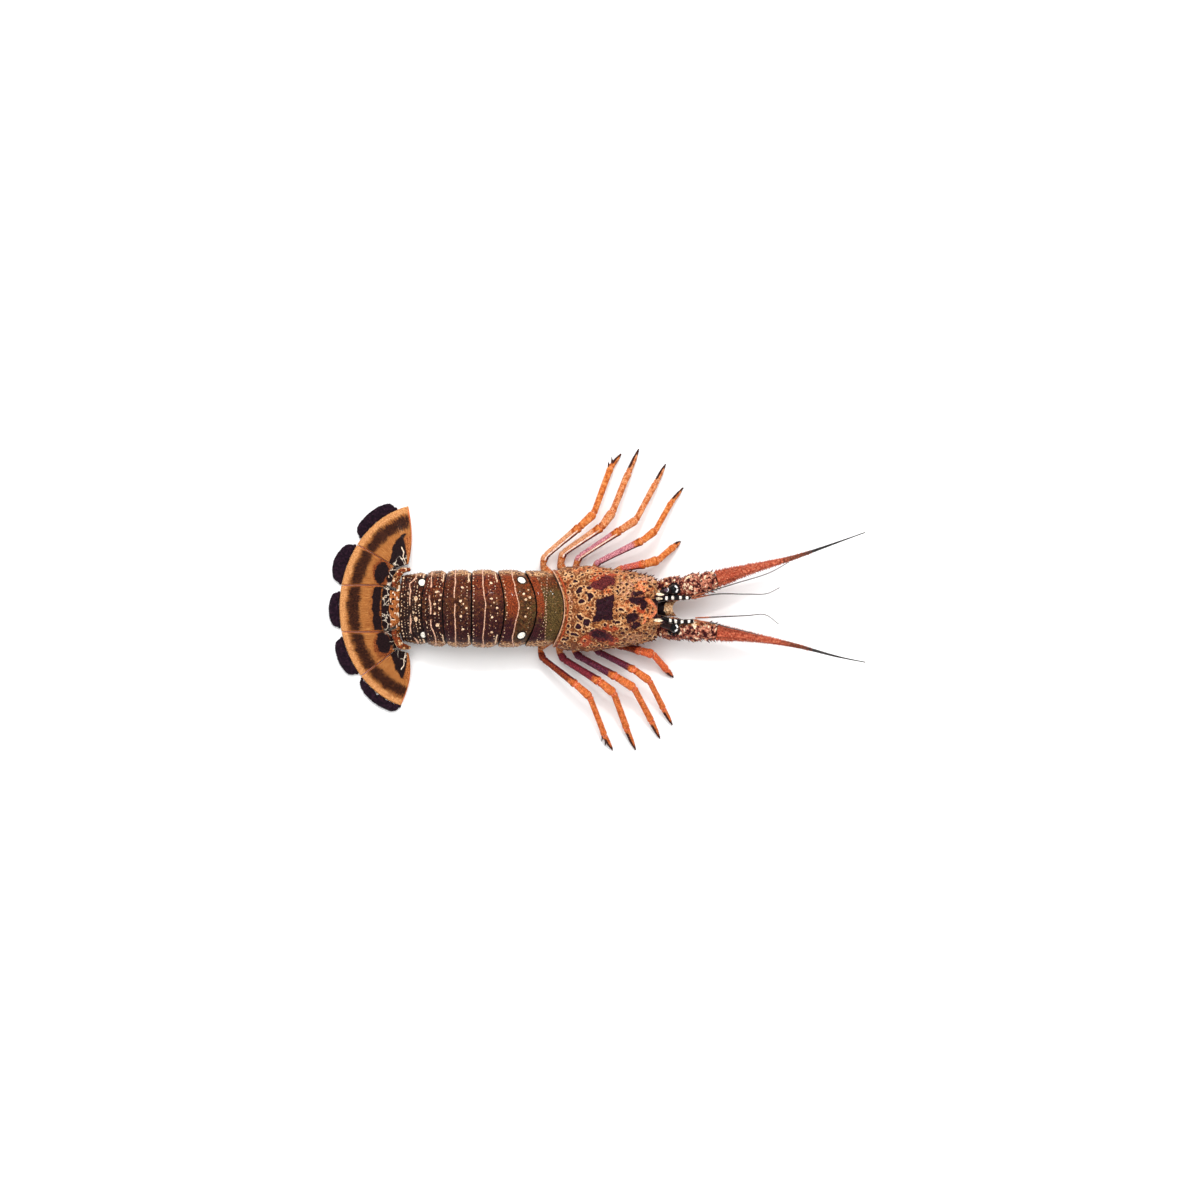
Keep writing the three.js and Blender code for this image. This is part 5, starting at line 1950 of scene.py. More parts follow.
    def inner_marks(self, along: Array, share: Array, points: Array) -> Masks:
        """An inner side blade's own colours."""
        points = shaken(points, (5.0, 1.2), (2.0, 0.8))
        marks = [(382, 573, 6.4, 11.5, -8), (383.6, 642.5, 7.4, 11, 12)]
        patch = ovals(points, marks)
        root = smoothstep(self.inside(points) + 1.5 * LUMPS.at(points, 4), 36, 40)
        return {
            "dark": most(patch, root),
            "curls": root,
            "rust": most(root * 0.7, 0.9 * ovals(points, [(383, 572, 10, 15), (384.5, 643.5, 11, 15)])),
        }

    def outer_marks(self, along: Array, share: Array, points: Array) -> Masks:
        """An outer side blade's own colours."""
        d = self.inside(points)
        y = np.abs(points[:, 1])
        # the dark patch follows the inner root and comes nearer to the rim further out
        inner = lerp(32, 21.5, smoothstep(y, 38, 64))
        patch = band(d + 0.8 * LUMPS.at(points, 4), inner, 46, 1.5) * smoothstep(share, 1.0, 0.86)
        strip = smoothstep(share, 0.8, 0.9) * smoothstep(along, 0.62, 0.5)
        wave = band(share + 0.06 * LUMPS.at(points, 4), 0.7, 0.735, 0.02) * smoothstep(along, 0.45, 0.38)
        lead = smoothstep(y, 58, 78) * band(d, 8, 16, 3)
        return {
            "dark": patch * (1 - strip) * smoothstep(y, 72, 65),
            "curls": patch * smoothstep(share, 0.95, 0.7) * smoothstep(d, 34, 39),
            "rust": 0.7 * lead,
            "pale": 0.9 * wave,
            "ridge": 0.9 * strip,
        }

    def build_blades(self) -> None:
        """Model and dress the five blades."""
        form = self.blade(self.telson_plan, self.telson_root, self.telson_horny)
        masks = self.blade_masks(self.telson_marks)
        item = Skin("telson_blade", self.cells, form, self.ribs, masks).build()
        Workshop.join(item, self.build_hinge())
        deliver(item, FAN_BLADE, Slot.FAN, "telson")
        for number, side in enumerate(Side):
            seam, tip = self.seam[number], self.tip[number]
            seams = [
                BladeEdge(self.inner_root, seam - self.gap / 2),
                BladeEdge(self.outer_root, seam + self.gap / 2),
            ]
            outer_edge = BladeEdge(self.outer_out, tip, self.outer_bow)
            for word, edges, marks in (
                ("inner", (self.inner_in, seams[0]), self.inner_marks),
                ("outer", (seams[1], outer_edge), self.outer_marks),
            ):
                form = self.blade(self.side_plan(side, *edges), self.root, 1.0)
                masks = self.blade_masks(marks)
                name = f"fan_{word}_{side.word}"
                item = Skin(name + "_blade", self.cells, form, self.ribs, masks).build()
                deliver(item, FAN_BLADE, Slot.FAN, name)

    def build_knuckles(self) -> None:
        """Model and dress the knuckles that carry the side blades."""
        for side in Side:
            line = [(x, side.value * y, z) for x, y, z in self.knuckle]
            tube = Tube(line, self.knuckle_wide, 1.0, (0.03, 0.05))

            def masks(along: Array, across: Array, points: Array) -> Masks:
                """Reddish knuckles with tan ridges."""
                ridge = band(LUMPS.at(points, 3.4), 0.15, 0.9, 0.1)
                return {
                    "rust": np.full(len(along), 0.7),
                    "side": 0.8 * ridge,
                    "dots": band(LUMPS.at(points, 1.7), 0.45, 2, 0.08),
                }

            lumps = lumpy((0.5, 3), (0.2, 1.2))
            name = f"fan_knuckle_{side.word}"
            item = Skin(name + "_skin", self.knuckle_cells, tube.shape, lumps, masks).build()
            thorns = Thorns(7, 2)
            draw = np.random.default_rng(Seed.KNUCKLES + side.value)
            for u in np.linspace(0.12, 0.92, 9):
                turn = draw.uniform(0.1, 0.42)
                at, across = one(u), one(turn if side is Side.LEFT else 0.5 - turn)
                root = tube.shape(at, across)[0]
                centre = Line(line).at(at)[0]
                thorns.add(root, unit(root - centre) + (-0.5, 0, 0), 1.6, 0.8)
            Workshop.join(item, thorns.build("knuckle_thorns", {"side": 0.8}))
            deliver(item, TAIL_SHELL, Slot.TAIL, name)

    def beside_rim(self, degrees: Array, distance: Array) -> Array:
        """Points beside the rim, a distance outside it, at angles from the middle line."""
        turn = np.radians(degrees)
        half = self.half(turn)
        out = unit(np.stack([-np.cos(turn) / self.length, np.sin(turn) / half], -1))
        x = self.x - self.length * np.cos(turn) + out[:, 0] * distance
        y = half * np.sin(turn) + out[:, 1] * distance
        return np.stack([x, y, np.full(len(x), self.pad_height / 2)], -1)

    def pad_shape(self, start: float, end: float, wide: Sequence[float], torn: float) -> Shape:
        """The form of a bristle pad, torn at its outer edge or whole."""

        def places(along: Array, across: Array) -> Array:
            """Places on the pad's skin."""
            share = middle_share(along, self.pad_cap)
            radius = read_smooth(np.array(wide), share * (len(wide) - 1))
            full = np.sqrt(np.maximum(0.08, 1 - np.abs(2 * share - 1) ** 7))
            closing = end_share(along, self.pad_cap)
            away = radius * full + self.pad_gap
            centre = self.beside_rim(lerp(start, end, share), away)
            ahead = self.beside_rim(lerp(start, end, share + 0.01), away)
            heading = unit(ahead - centre)
            past = np.sign(along - 0.5) * 0.3 * radius * (1 - closing)
            centre = centre + heading * past[:, None]
            full = full * np.sqrt(1 - (1 - closing) ** 2)
            bite = np.maximum(0, np.sin(share * 31)) ** 3 + 0.5 * np.maximum(0, np.sin(share * 19))
            outer = np.cos(across * ROUND) * np.sign(end - start) < 0
            cut = np.where(outer, 1 - 0.3 * torn * bite, 1)
            flat = self.pad_height / 2 / radius
            ring = ring_point(np.zeros_like(centre), heading, np.ones(len(share)), across * ROUND)
            size = (radius * full * cut)[:, None]
            return centre + ring * size * np.stack([flat**0, flat**0, flat], -1)

        return places

    def build_pads(self) -> None:
        """Model and dress the bristle pads."""
        for name, (start, end, wide, torn) in self.pads.items():
            form = self.pad_shape(start, end, wide, torn)

            def tufts(along: Array, across: Array, points: Array) -> Array:
                """Matted bristles across the pad, in millimetres."""
                across_rim = points * (1, 1, 0.35)
                return 0.3 * LUMPS.at(across_rim, 2.4) + 0.16 * LUMPS.at(points, 0.9)

            item = Skin(name + "_pad", self.pad_cells, form, tufts).build()
            bristles = Thorns(4, 1)
            draw = np.random.default_rng(Seed.BRISTLES)
            strewn = scatter(form, (0.02, 0.98, 0, 1), 700, 1.3, Seed.BRISTLES)
            for root, out in zip(*strewn, strict=True):
                if root[2] + out[2] > self.bristle_low:
                    lean = out + draw.normal(0, 0.3, 3)
                    bristles.add(root, lean, draw.uniform(0.5, 1.1), 0.24)
            Workshop.join(item, bristles.build("bristles"))
            deliver(item, BRISTLE, Slot.BRISTLE, name)

    def build(self) -> None:
        """Model and dress the whole fan."""
        self.build_blades()
        self.build_knuckles()
        self.build_pads()


# ------------------------------------------------------------------ legs


@dataclass(frozen=True)
class LegSize:
    """One leg: where it shows at the shell's edge, and its stretches and their headings."""

    hip: tuple[float, float]
    reach: tuple[float, ...]
    turn: tuple[float, ...]
    stout: float
    upper: str = ""  # the colour of its upper arm


@dataclass
class Legs:
    """The ten walking legs."""

    left: tuple[LegSize, ...] = (
        LegSize((18.2, 32.3), (4.7, 19, 11.5, 18.2, 7), (21, 11, 16, 41, 40), 1, "lilac"),
        LegSize((-1.8, 36.1), (4.3, 42.4, 13.6, 27.8, 16.5), (43, 26, 38, 61, 51), 0.86, "lilac"),
        LegSize((-18.2, 37), (7.2, 42.2, 15.4, 36, 18.9), (62, 33, 33, 62, 63), 0.92, "lilac"),
        LegSize((-31.4, 38.2), (9.1, 39.8, 15.3, 36.6, 22.6), (71, 34, 54, 68, 67), 1, "tan"),
        LegSize((-46.7, 36.1), (8.6, 39.2, 15.6, 42.6, 14.9), (70, 40, 43, 70, 53), 0.96, "tan"),
    )
    # the right legs' upper arm colours are darker than the left legs', partly as painted shade of the side
    # away from the light
    right: tuple[LegSize, ...] = (
        LegSize((17.4, 31), (5.2, 15.5, 10.7, 17.7, 9), (12, 15, 15, 49, 47), 1, "russet"),
        LegSize((-2.1, 34.6), (5.8, 33, 15.2, 27, 16), (29, 27, 36, 63, 61), 0.88, "violet"),
        LegSize((-20.1, 35.9), (7.5, 35.9, 17.2, 32.3, 16.7), (41, 29, 32, 62, 64), 0.96, "violet"),
        LegSize((-33.1, 35.9), (8.9, 36.5, 14.6, 32.5, 20.1), (54, 32, 39, 70, 67), 1, "maroon"),
        LegSize((-49.4, 33.9), (9.4, 36.3, 14.9, 35.6, 14.6), (66, 38, 42, 69, 61), 0.9, "russet"),
    )
    heights: tuple[float, ...] = (4.9, 7.3, 11.5, 23.5, 21, 6.2, 1)
    front_low: float = 0.72
    root_y: float = 23.2
    root_x: tuple[float, ...] = (12, 1, -12, -23, -33)
    profile: tuple[tuple[tuple[float, float], ...], ...] = (
        ((0, 3.5), (0.9, 3.5)), ((0.85, 3.1),), ((0.06, 2.9), (0.5, 3.1), (0.96, 3.7)),
        ((0.06, 3.2), (0.7, 3.9), (0.96, 3.4)), ((0.05, 2.8), (0.5, 2.8), (0.97, 2.8)),
        ((0.06, 2.4), (0.55, 2), (1, 0.45)),
    )
    cells: tuple[int, int] = (300, 28)
    samples: int = 500
    smoothing: int = 6  # samples on either side that a corner is rounded over

    def corners(self, side: Side, number: int, size: LegSize) -> Array:
        """The leg's joints, from its hidden root to the tip of its claw."""
        points = [(self.root_x[number - 1], side.value * self.root_y)]
        points.append((size.hip[0], side.value * size.hip[1]))
        for reach, degrees in zip(size.reach, size.turn, strict=True):
            x, y = points[-1]
            turn = math.radians(degrees)
            points.append((x + reach * math.cos(turn), y + side.value * reach * math.sin(turn)))
        low = self.front_low if number == 1 else 1
        heights = [z * (low if 1 < i < 6 else 1) for i, z in enumerate(self.heights)]
        return np.array([(x, y, z) for (x, y), z in zip(points, heights, strict=True)])

    def table(self, corners: Array, stout: float) -> dict[str, Array]:
        """Middle line, direction, radius and stretch number, closely along a leg."""
        centres, axes, radii, stages = [], [], [], []
        for index, marks in enumerate(self.profile):
            along = unit(corners[index + 1] - corners[index])
            for share, radius in marks:
                centres.append(lerp(corners[index], corners[index + 1], share))
                axes.append(along)
                radii.append(radius * stout)
                stages.append(index + share)
        lengths = np.linalg.norm(np.diff(centres, axis=0), axis=1)
        place = np.concatenate([[0], np.cumsum(lengths)])
        at = np.linspace(0, place[-1], self.samples)

        def read(rows: Sequence[Any]) -> Array:
            """Values at the samples, with their corners rounded."""
            table = np.array(rows, float).reshape(len(place), -1)
            flat = np.stack([np.interp(at, place, column) for column in table.T], -1)
            near = self.smoothing
            padded = np.pad(flat, ((near, near), (0, 0)), mode="edge")
            return np.stack([padded[i : i + len(at)] for i in range(2 * near + 1)]).mean(axis=0)

        return {
            "centre": read(centres),
            "axis": unit(read(axes)),
            "radius": read(radii)[:, 0],
            "stage": np.interp(at, place, stages),
            "place": at,
        }

    def build_leg(self, side: Side, number: int, size: LegSize) -> None:
        """Model and dress one leg."""
        corners = self.corners(side, number, size)
        table = self.table(corners, size.stout)
        total = table["place"][-1]
        share = table["place"] / total
        joints = np.interp((1, 2, 3, 4, 5), table["stage"], table["place"])

        def at(along: Array, key: str) -> Array:
            """A column of the leg's table at shares of its length."""
            column = table[key]
            if column.ndim == 1:
                return np.interp(along, share, column)
            return np.stack([np.interp(along, share, c) for c in column.T], -1)

        def waist(along: Array) -> Array:
            """How the leg swells before its joints and narrows in them."""
            place = along * total
            swell = np.ones(len(place))
            for joint in joints[1:]:
                swell += 0.1 * dent(place - joint + 2.2, 2.6)
                swell -= 0.17 * dent(place - joint, 0.9)
                swell += 0.06 * dent(place - joint - 1.6, 1.4)
            return swell

        def form(along: Array, across: Array) -> Array:
            """Places on the leg's skin."""
            width = at(along, "radius") * waist(along) * round_end(along, 0.006, 0.008)
            return ring_point(at(along, "centre"), at(along, "axis"), width, across * ROUND)

        def relief(along: Array, across: Array, points: Array) -> Array:
            """A blunt keel along the leg and its unevenness, in millimetres."""
            stage = at(along, "stage")
            arms = band(stage, 2.1, 4.9, 0.1)
            keel = 0.16 * np.cos(across * ROUND * 3) * arms
            return keel + 0.1 * LUMPS.at(points, 2.5) * smoothstep(along, 0, 0.05)

        def masks(along: Array, across: Array, points: Array) -> Masks:
            """Where the leg's colours lie."""
            stage = at(along, "stage")
            place = along * total
            behind = np.cos(across * ROUND) * side.value
            upper = band(stage, 1.75 if side is Side.LEFT else 1.45, 2.92, 0.14)
            lobe = smoothstep(stage, 2.72, 2.9) * (stage < 3)
            near = sum(dent(place - joint, 1.6) for joint in joints[2:])
            names = ("red", "tan", "maroon", "violet", "russet", "lilac", "white")
            values = {name: np.zeros(len(along)) for name in names}
            if side is Side.LEFT:
                strip = smoothstep(behind, -0.12, 0.12)
                whole = number < 3
                pure = 0.42 if number == 1 else 1
                values[size.upper] = pure * upper * (1 - lobe) * (1 if whole else strip)
                # a pale stripe, painted as white as a highlight on it
                values["white"] = upper * band(behind, -0.46, -0.1, 0.1) * (0.3 if whole else 0.85)
                values["edge"] = upper * smoothstep(behind, -0.5, -0.68)
                values["red"] = (0.9 if number == 1 else 0.3) * upper
                values["tan"] = most(values["tan"], 0.42 * smoothstep(stage, 2.9, 3.1) * (number in (3, 4)))
            else:
                # the upper arm's colour, partly painted shade of the side away from the light
                fade = smoothstep(stage + 0.1 * LUMPS.at(points, 2.6), 3.02, 2.72)
                values[size.upper] = upper * fade * (0.95 + 0.25 * LUMPS.at(points, 3.2))
                # painted shadow of the shell, on the side of the upper arm that faces the body
                values["edge"] = upper * smoothstep(behind, -0.4, -0.75)
                redder = 0.36 + 0.5 * np.clip(near, 0, 1) + 0.25 * (number == 1)
                values["red"] = most(redder * smoothstep(stage, 2.7, 2.9), (number == 1) * 0.9 * upper)
            hips = smoothstep(stage, 1.85, 1.4)
            values["hip"] = hips
            values["tan"] = most(values["tan"], 0.4 * hips)
            values["joint"] = 0.56 * np.clip(near, 0, 1)
            trailing = smoothstep(behind, -0.25, 0.3) * smoothstep(stage, 5.0, 5.3)
            values["claw"] = most(trailing, smoothstep(stage, 5.62, 5.85))
            return values

        name = f"leg_{side.word}_{number}"
        item = Skin(name + "_skin", self.cells, form, relief, masks).build()
        extras = [self.spurs(side, corners)] if number == 5 else []
        extras.append(self.hairs(side, number, corners, form, at))
        Workshop.join(item, *extras)
        deliver(item, LEG_SHELL, Slot.LEG, name)

    def spurs(self, side: Side, corners: Array) -> Item:
        """The two spurs that stand against a hind leg's claw."""
        wrist = corners[-2]
        along = unit(corners[-1] - corners[-3])
        out = np.array((-along[1], along[0], 0)) * side.value
        thorns = Thorns(8, 3)
        thorns.add(wrist - along * 1.5 + out, along + out * 0.6, 6.6, 1.6, -0.4)
        thorns.add(wrist + along * 4.5 + out * 0.6, along + out * 0.6, 5.2, 1.4, -0.3)
        return thorns.build("spurs", {"claw": 1.0})

    def hairs(self, side: Side, number: int, corners: Array, form: Shape, at: Any) -> Item:
        """Short stiff hairs along a claw, and a few thorns at the joints."""
        hairs = Thorns(5, 1)
        draw = np.random.default_rng(Seed.LEG_HAIRS + number + 9 * (side is Side.LEFT))
        stages = np.linspace(0, 1, 400)
        claw = stages[at(stages, "stage") > 5.1]
        for _ in range(70):
            along, turn = one(draw.choice(claw)), one(draw.random())
            root = form(along, turn)[0]
            out = unit(root - at(along, "centre")[0])
            if root[2] < 1.4 and out[2] < 0:
                continue
            axis = at(along, "axis")[0]
            hairs.add(root, out * 0.5 + axis, draw.uniform(0.5, 1.0), 0.2)
        knee = corners[3]
        for turn in (0.12, 0.38):
            place = stages[np.argmin(np.abs(at(stages, "stage") - 2.93))]
            root = form(one(place), one(turn))[0]
            hairs.add(root, unit(root - knee) + at(one(place), "axis")[0], 1.5, 0.6)
        return hairs.build("leg_hairs", {"claw": 0.6})

    def build(self) -> None:
        """Model and dress all ten legs."""
        for side, sizes in ((Side.LEFT, self.left), (Side.RIGHT, self.right)):
            for number, size in enumerate(sizes, 1):
                self.build_leg(side, number, size)


# ------------------------------------------------------------------ head


def joint_lumps(points: Array) -> Array:
    """The lumps that antenna joints are covered with, between about -1 and 1."""
    return LUMPS.at(points + (40.0, 0.0, 0.0), 3.0) + 0.5 * LUMPS.at(points, 1.7)


@dataclass
class Antenna:
    """One antenna: three stout thorny joints and a long whip."""

    side: Side
    joints: tuple[tuple[float, float, float], ...]
    wide: tuple[float, ...]
    whip: tuple[tuple[float, float, float], ...]
    whip_wide: tuple[float, ...]
    words: tuple[str, ...] = ("base", "middle", "outer")
    flat: float = 0.86
    turns: int = 5
    joint_cells: tuple[int, int] = (90, 110)
    joint_cap: float = 0.06
    whip_cells: tuple[int, int] = (620, 20)
    whip_length: float = 137.0
    ring_pitch: float = 1.5

    def heading(self, index: int) -> Array:
        """The direction of the middle line at a joint, half way between its neighbours'."""
        points = np.array(self.joints)
        return unit(points[min(index + 1, len(points) - 1)] - points[max(index - 1, 0)])

    def build_joint(self, index: int) -> None:
        """Model and dress one stout joint."""
        points = np.array(self.joints)
        along_axis = unit(points[index + 1] - points[index])
        start = points[index] + along_axis * (GAP if index else 0)
        end = points[index + 1]
        length = float(np.linalg.norm(end - start))
        headings = np.array([self.heading(index), along_axis, along_axis, self.heading(index + 1)])
        cap = self.joint_cap

        def form(along: Array, across: Array) -> Array:
            """Places on the joint's skin, closed by its two ends."""
            share = middle_share(along, cap)
            swell = read_smooth(np.array((0.86, 1, 1.04, 0.86)), share * 3)
            radius = lerp(self.wide[index], self.wide[index + 1], share) * swell
            heading = unit(
                np.stack([np.interp(share * 3, range(4), column) for column in headings.T], -1)
            )
            centre = lerp(start, end, share[:, None])
            radius = radius * np.sin(end_share(along, cap) * np.pi / 2)
            return ring_point(centre, heading, radius, across * ROUND, self.flat)

        draw = np.random.default_rng(Seed.JOINT_SPOTS + index + 5 * (self.side is Side.LEFT))
        spots = [(draw.uniform(0.04, 0.98), draw.random(), draw.uniform(0.8, 1.7)) for _ in range(26)]

        def masks(along: Array, across: Array, points: Array) -> Masks:
            """Maroon spots on pinkish tan, darker near the head."""
            dark = np.zeros(len(along))
            for u, turn, size in spots:
                around = np.abs(across - turn)
                around = np.minimum(around, 1 - around) * ROUND * self.wide[index]
                reach = np.hypot((along - u) * length, around) / size
                dark = np.maximum(dark, 1 - smoothstep(reach, 0.6, 1.3))
            rough = joint_lumps(points)
            eyes = ovals(points, [(673.5, 590, 7, 7.6), (673.5, 629, 6.6, 6.6), (664, 590, 3.6, 4)])
            inner = band(-self.side.value * points[:, 1], -14.6, 0, 0.8) * (self.side is Side.RIGHT)
            return {
                "spots": most(0.9 * dark * (1 - 0.8 * inner), smoothstep(rough, -0.26, -0.55)),
                "cream": smoothstep(rough, 0.38, 0.6),
                "maroon": 0.24 + 0.34 * smoothstep(points[:, 0], 96, 66),
                "ochre": most(0.9 * inner, 0.7 * smoothstep(points[:, 0], 68, 60)),
                "night": eyes * smoothstep(points[:, 2], 20, 26),
            }

        def lumps(along: Array, across: Array, points: Array) -> Array:
            """The joint's unevenness, in millimetres."""
            rough = 0.75 * joint_lumps(points) + 0.2 * LUMPS.at(points, 1.3)
            return rough * end_share(along, cap)

        word = self.words[index]
        name = f"antenna_{word}_{self.side.word}"
        item = Skin(name + "_skin", self.joint_cells, form, lumps, masks).build()
        Workshop.join(item, self.joint_thorns(index, start, end, form))
        deliver(item, ANTENNA_JOINT, Slot.JOINT, name)

    def joint_thorns(self, index: int, start: Array, end: Array, form: Shape) -> Item:
        """The thorns of the solid, and small ones between them."""
        thorns = Thorns(7, 3)
        wobble = park_miller(Seed.JOINT_ROWS + index + 7 * (self.side is Side.LEFT))
        along = unit(end - start)
        level = unit(np.array((-along[1], along[0], 0.0)))
        for u in (0.38, 0.8):
            radius = lerp(self.wide[index], self.wide[index + 1], u) * 0.97
            for i in range(self.turns):
                turn = 2 * math.pi * (i + u + 0.12 * wobble()) / self.turns
                outer = self.side.value * math.cos(turn)
                hidden = (index == 0 and outer < 0.2) or (index == 1 and outer < -0.4)
                if math.sin(turn) < -0.75 or hidden:
                    continue
                out = level * math.cos(turn) + (0, 0, self.flat * math.sin(turn))
                root = lerp(start, end, u) + out * radius
                thorns.add(root, out + along * 0.9, 2.4 if index == 0 else 3.4, 1.2, 0.6)
        seed = Seed.JOINT_THORNS + index
        draw = np.random.default_rng(seed)
        for root, out in zip(*scatter(form, (0.1, 0.94, 0, 1), 300, 2.6, seed), strict=True):
            if out[2] > -0.6:
                thorns.add(root, out + along * 0.8, draw.uniform(0.9, 2.3), 0.8, 0.2)
        return thorns.build("joint_thorns", {"maroon": 0.4})

    def build_whip(self) -> None:
        """Model and dress the whip with its fine rings and spinules."""
        near = np.array(self.whip[0]) - unit(np.subtract(self.whip[1], self.whip[0])) * 0.55
        line = (tuple(near), *self.whip[1:])
        tube = Tube(line, self.whip_wide, 0.9, (0.0008, 0.003))

        def wave(along: Array) -> Array:
            """0 in the grooves between the whip's rings and 1 on them."""
            return np.abs(np.sin(np.pi * along * self.whip_length / self.ring_pitch))

        def rings(along: Array, across: Array, points: Array) -> Array:
            """Fine rings round the whip, in millimetres."""
            rough = 0.3 * (wave(along) - 0.5) + 0.14 * LUMPS.at(points, 1.2)
            return rough * tube.radius(along) / 3

        def masks(along: Array, across: Array, points: Array) -> Masks:
            """Coral at the root, then brown, then grey."""
            x = points[:, 0]
            return {
                "groove": 0.6 * smoothstep(wave(along), 0.5, 0.15),
                "brown": smoothstep(x, 146, 172),
                "grey": smoothstep(x, 166, 188),
            }

        name = f"antenna_whip_{self.side.word}"
        item = Skin(name + "_skin", self.whip_cells, tube.shape, rings, masks).build()
        spines = Thorns(5, 1)
        draw = np.random.default_rng(Seed.WHIP_SPINES)
        middle = Line(line)
        for turn in (0.0, 0.09, 0.18, 0.32, 0.41, 0.5, 0.6, 0.9):
            for u in np.arange(0.006, 0.6, 0.0125):
                at = one(u + draw.uniform(-0.004, 0.004))
                root = tube.shape(at, one(turn))[0]
                out = unit(root - middle.at(at)[0])
                size = lerp(2.7, 0.8, u / 0.6) * draw.uniform(0.6, 1.15)
                spines.add(root, out + middle.heading(at)[0] * 0.5, size, 0.32 * size + 0.2)
        Workshop.join(item, spines.build("whip_spines"))
        deliver(item, WHIP_SHELL, Slot.WHIP, name)

    def build(self) -> None:
        """Model and dress the antenna."""
        for index in range(len(self.words)):
            self.build_joint(index)
        self.build_whip()


@dataclass
class Antennule:
    """One antennule: a jointed stalk and two fine threads."""

    side: Side
    stalk: tuple[tuple[float, float, float], ...]
    threads: dict[str, tuple[tuple[float, float, float], ...]]
    wide: tuple[float, ...] = (2.2, 2.3, 1.7)
    thread_radius: float = 0.45
    stalk_cells: tuple[int, int] = (90, 28)
    thread_cells: tuple[int, int] = (400, 10)
    dots: tuple[float, ...] = ()  # pixels along the photograph

    def build(self) -> None:
        """Model and dress the stalk and the threads."""
        tube = Tube(self.stalk, self.wide, 1.0, (0.03, 0.06))

        def masks(along: Array, across: Array, points: Array) -> Masks:
            """White dots on black."""
            x = points[:, 0]
            row = sum(dent(x - (dot - PHOTO_ORIGIN[0]) * PIXEL, 1.6) for dot in self.dots)
            return {"dots": row * facing_up(across, 0.5, 0.85)}

        def waists(along: Array, across: Array, points: Array) -> Array:
            """Narrow waists between the stalk's joints, in millimetres."""
            return -0.45 * (dent(along - 0.34, 0.05) + dent(along - 0.68, 0.05))

        name = f"antennule_stalk_{self.side.word}"
        item = Skin(name + "_skin", self.stalk_cells, tube.shape, waists, masks).build()
        deliver(item, STALK_SHELL, Slot.ANTENNULE, name)
        for word, line in self.threads.items():
            radius = self.thread_radius
            thread = Tube(line, (radius * 1.5, radius, radius * 0.7), 1.0, (0.004, 0.004))

            def rings(along: Array, across: Array, points: Array) -> Array:
                """Fine rings round the thread, in millimetres."""
                return 0.05 * np.sin(along * 320)

            def root(along: Array, across: Array, points: Array) -> Masks:
                """A brown root."""
                return {"tan": smoothstep(along, 0.28, 0.05)}

            name = f"antennule_{word}_{self.side.word}"
            item = Skin(name + "_skin", self.thread_cells, thread.shape, rings, root).build()
            deliver(item, THREAD_SHELL, Slot.ANTENNULE, name)


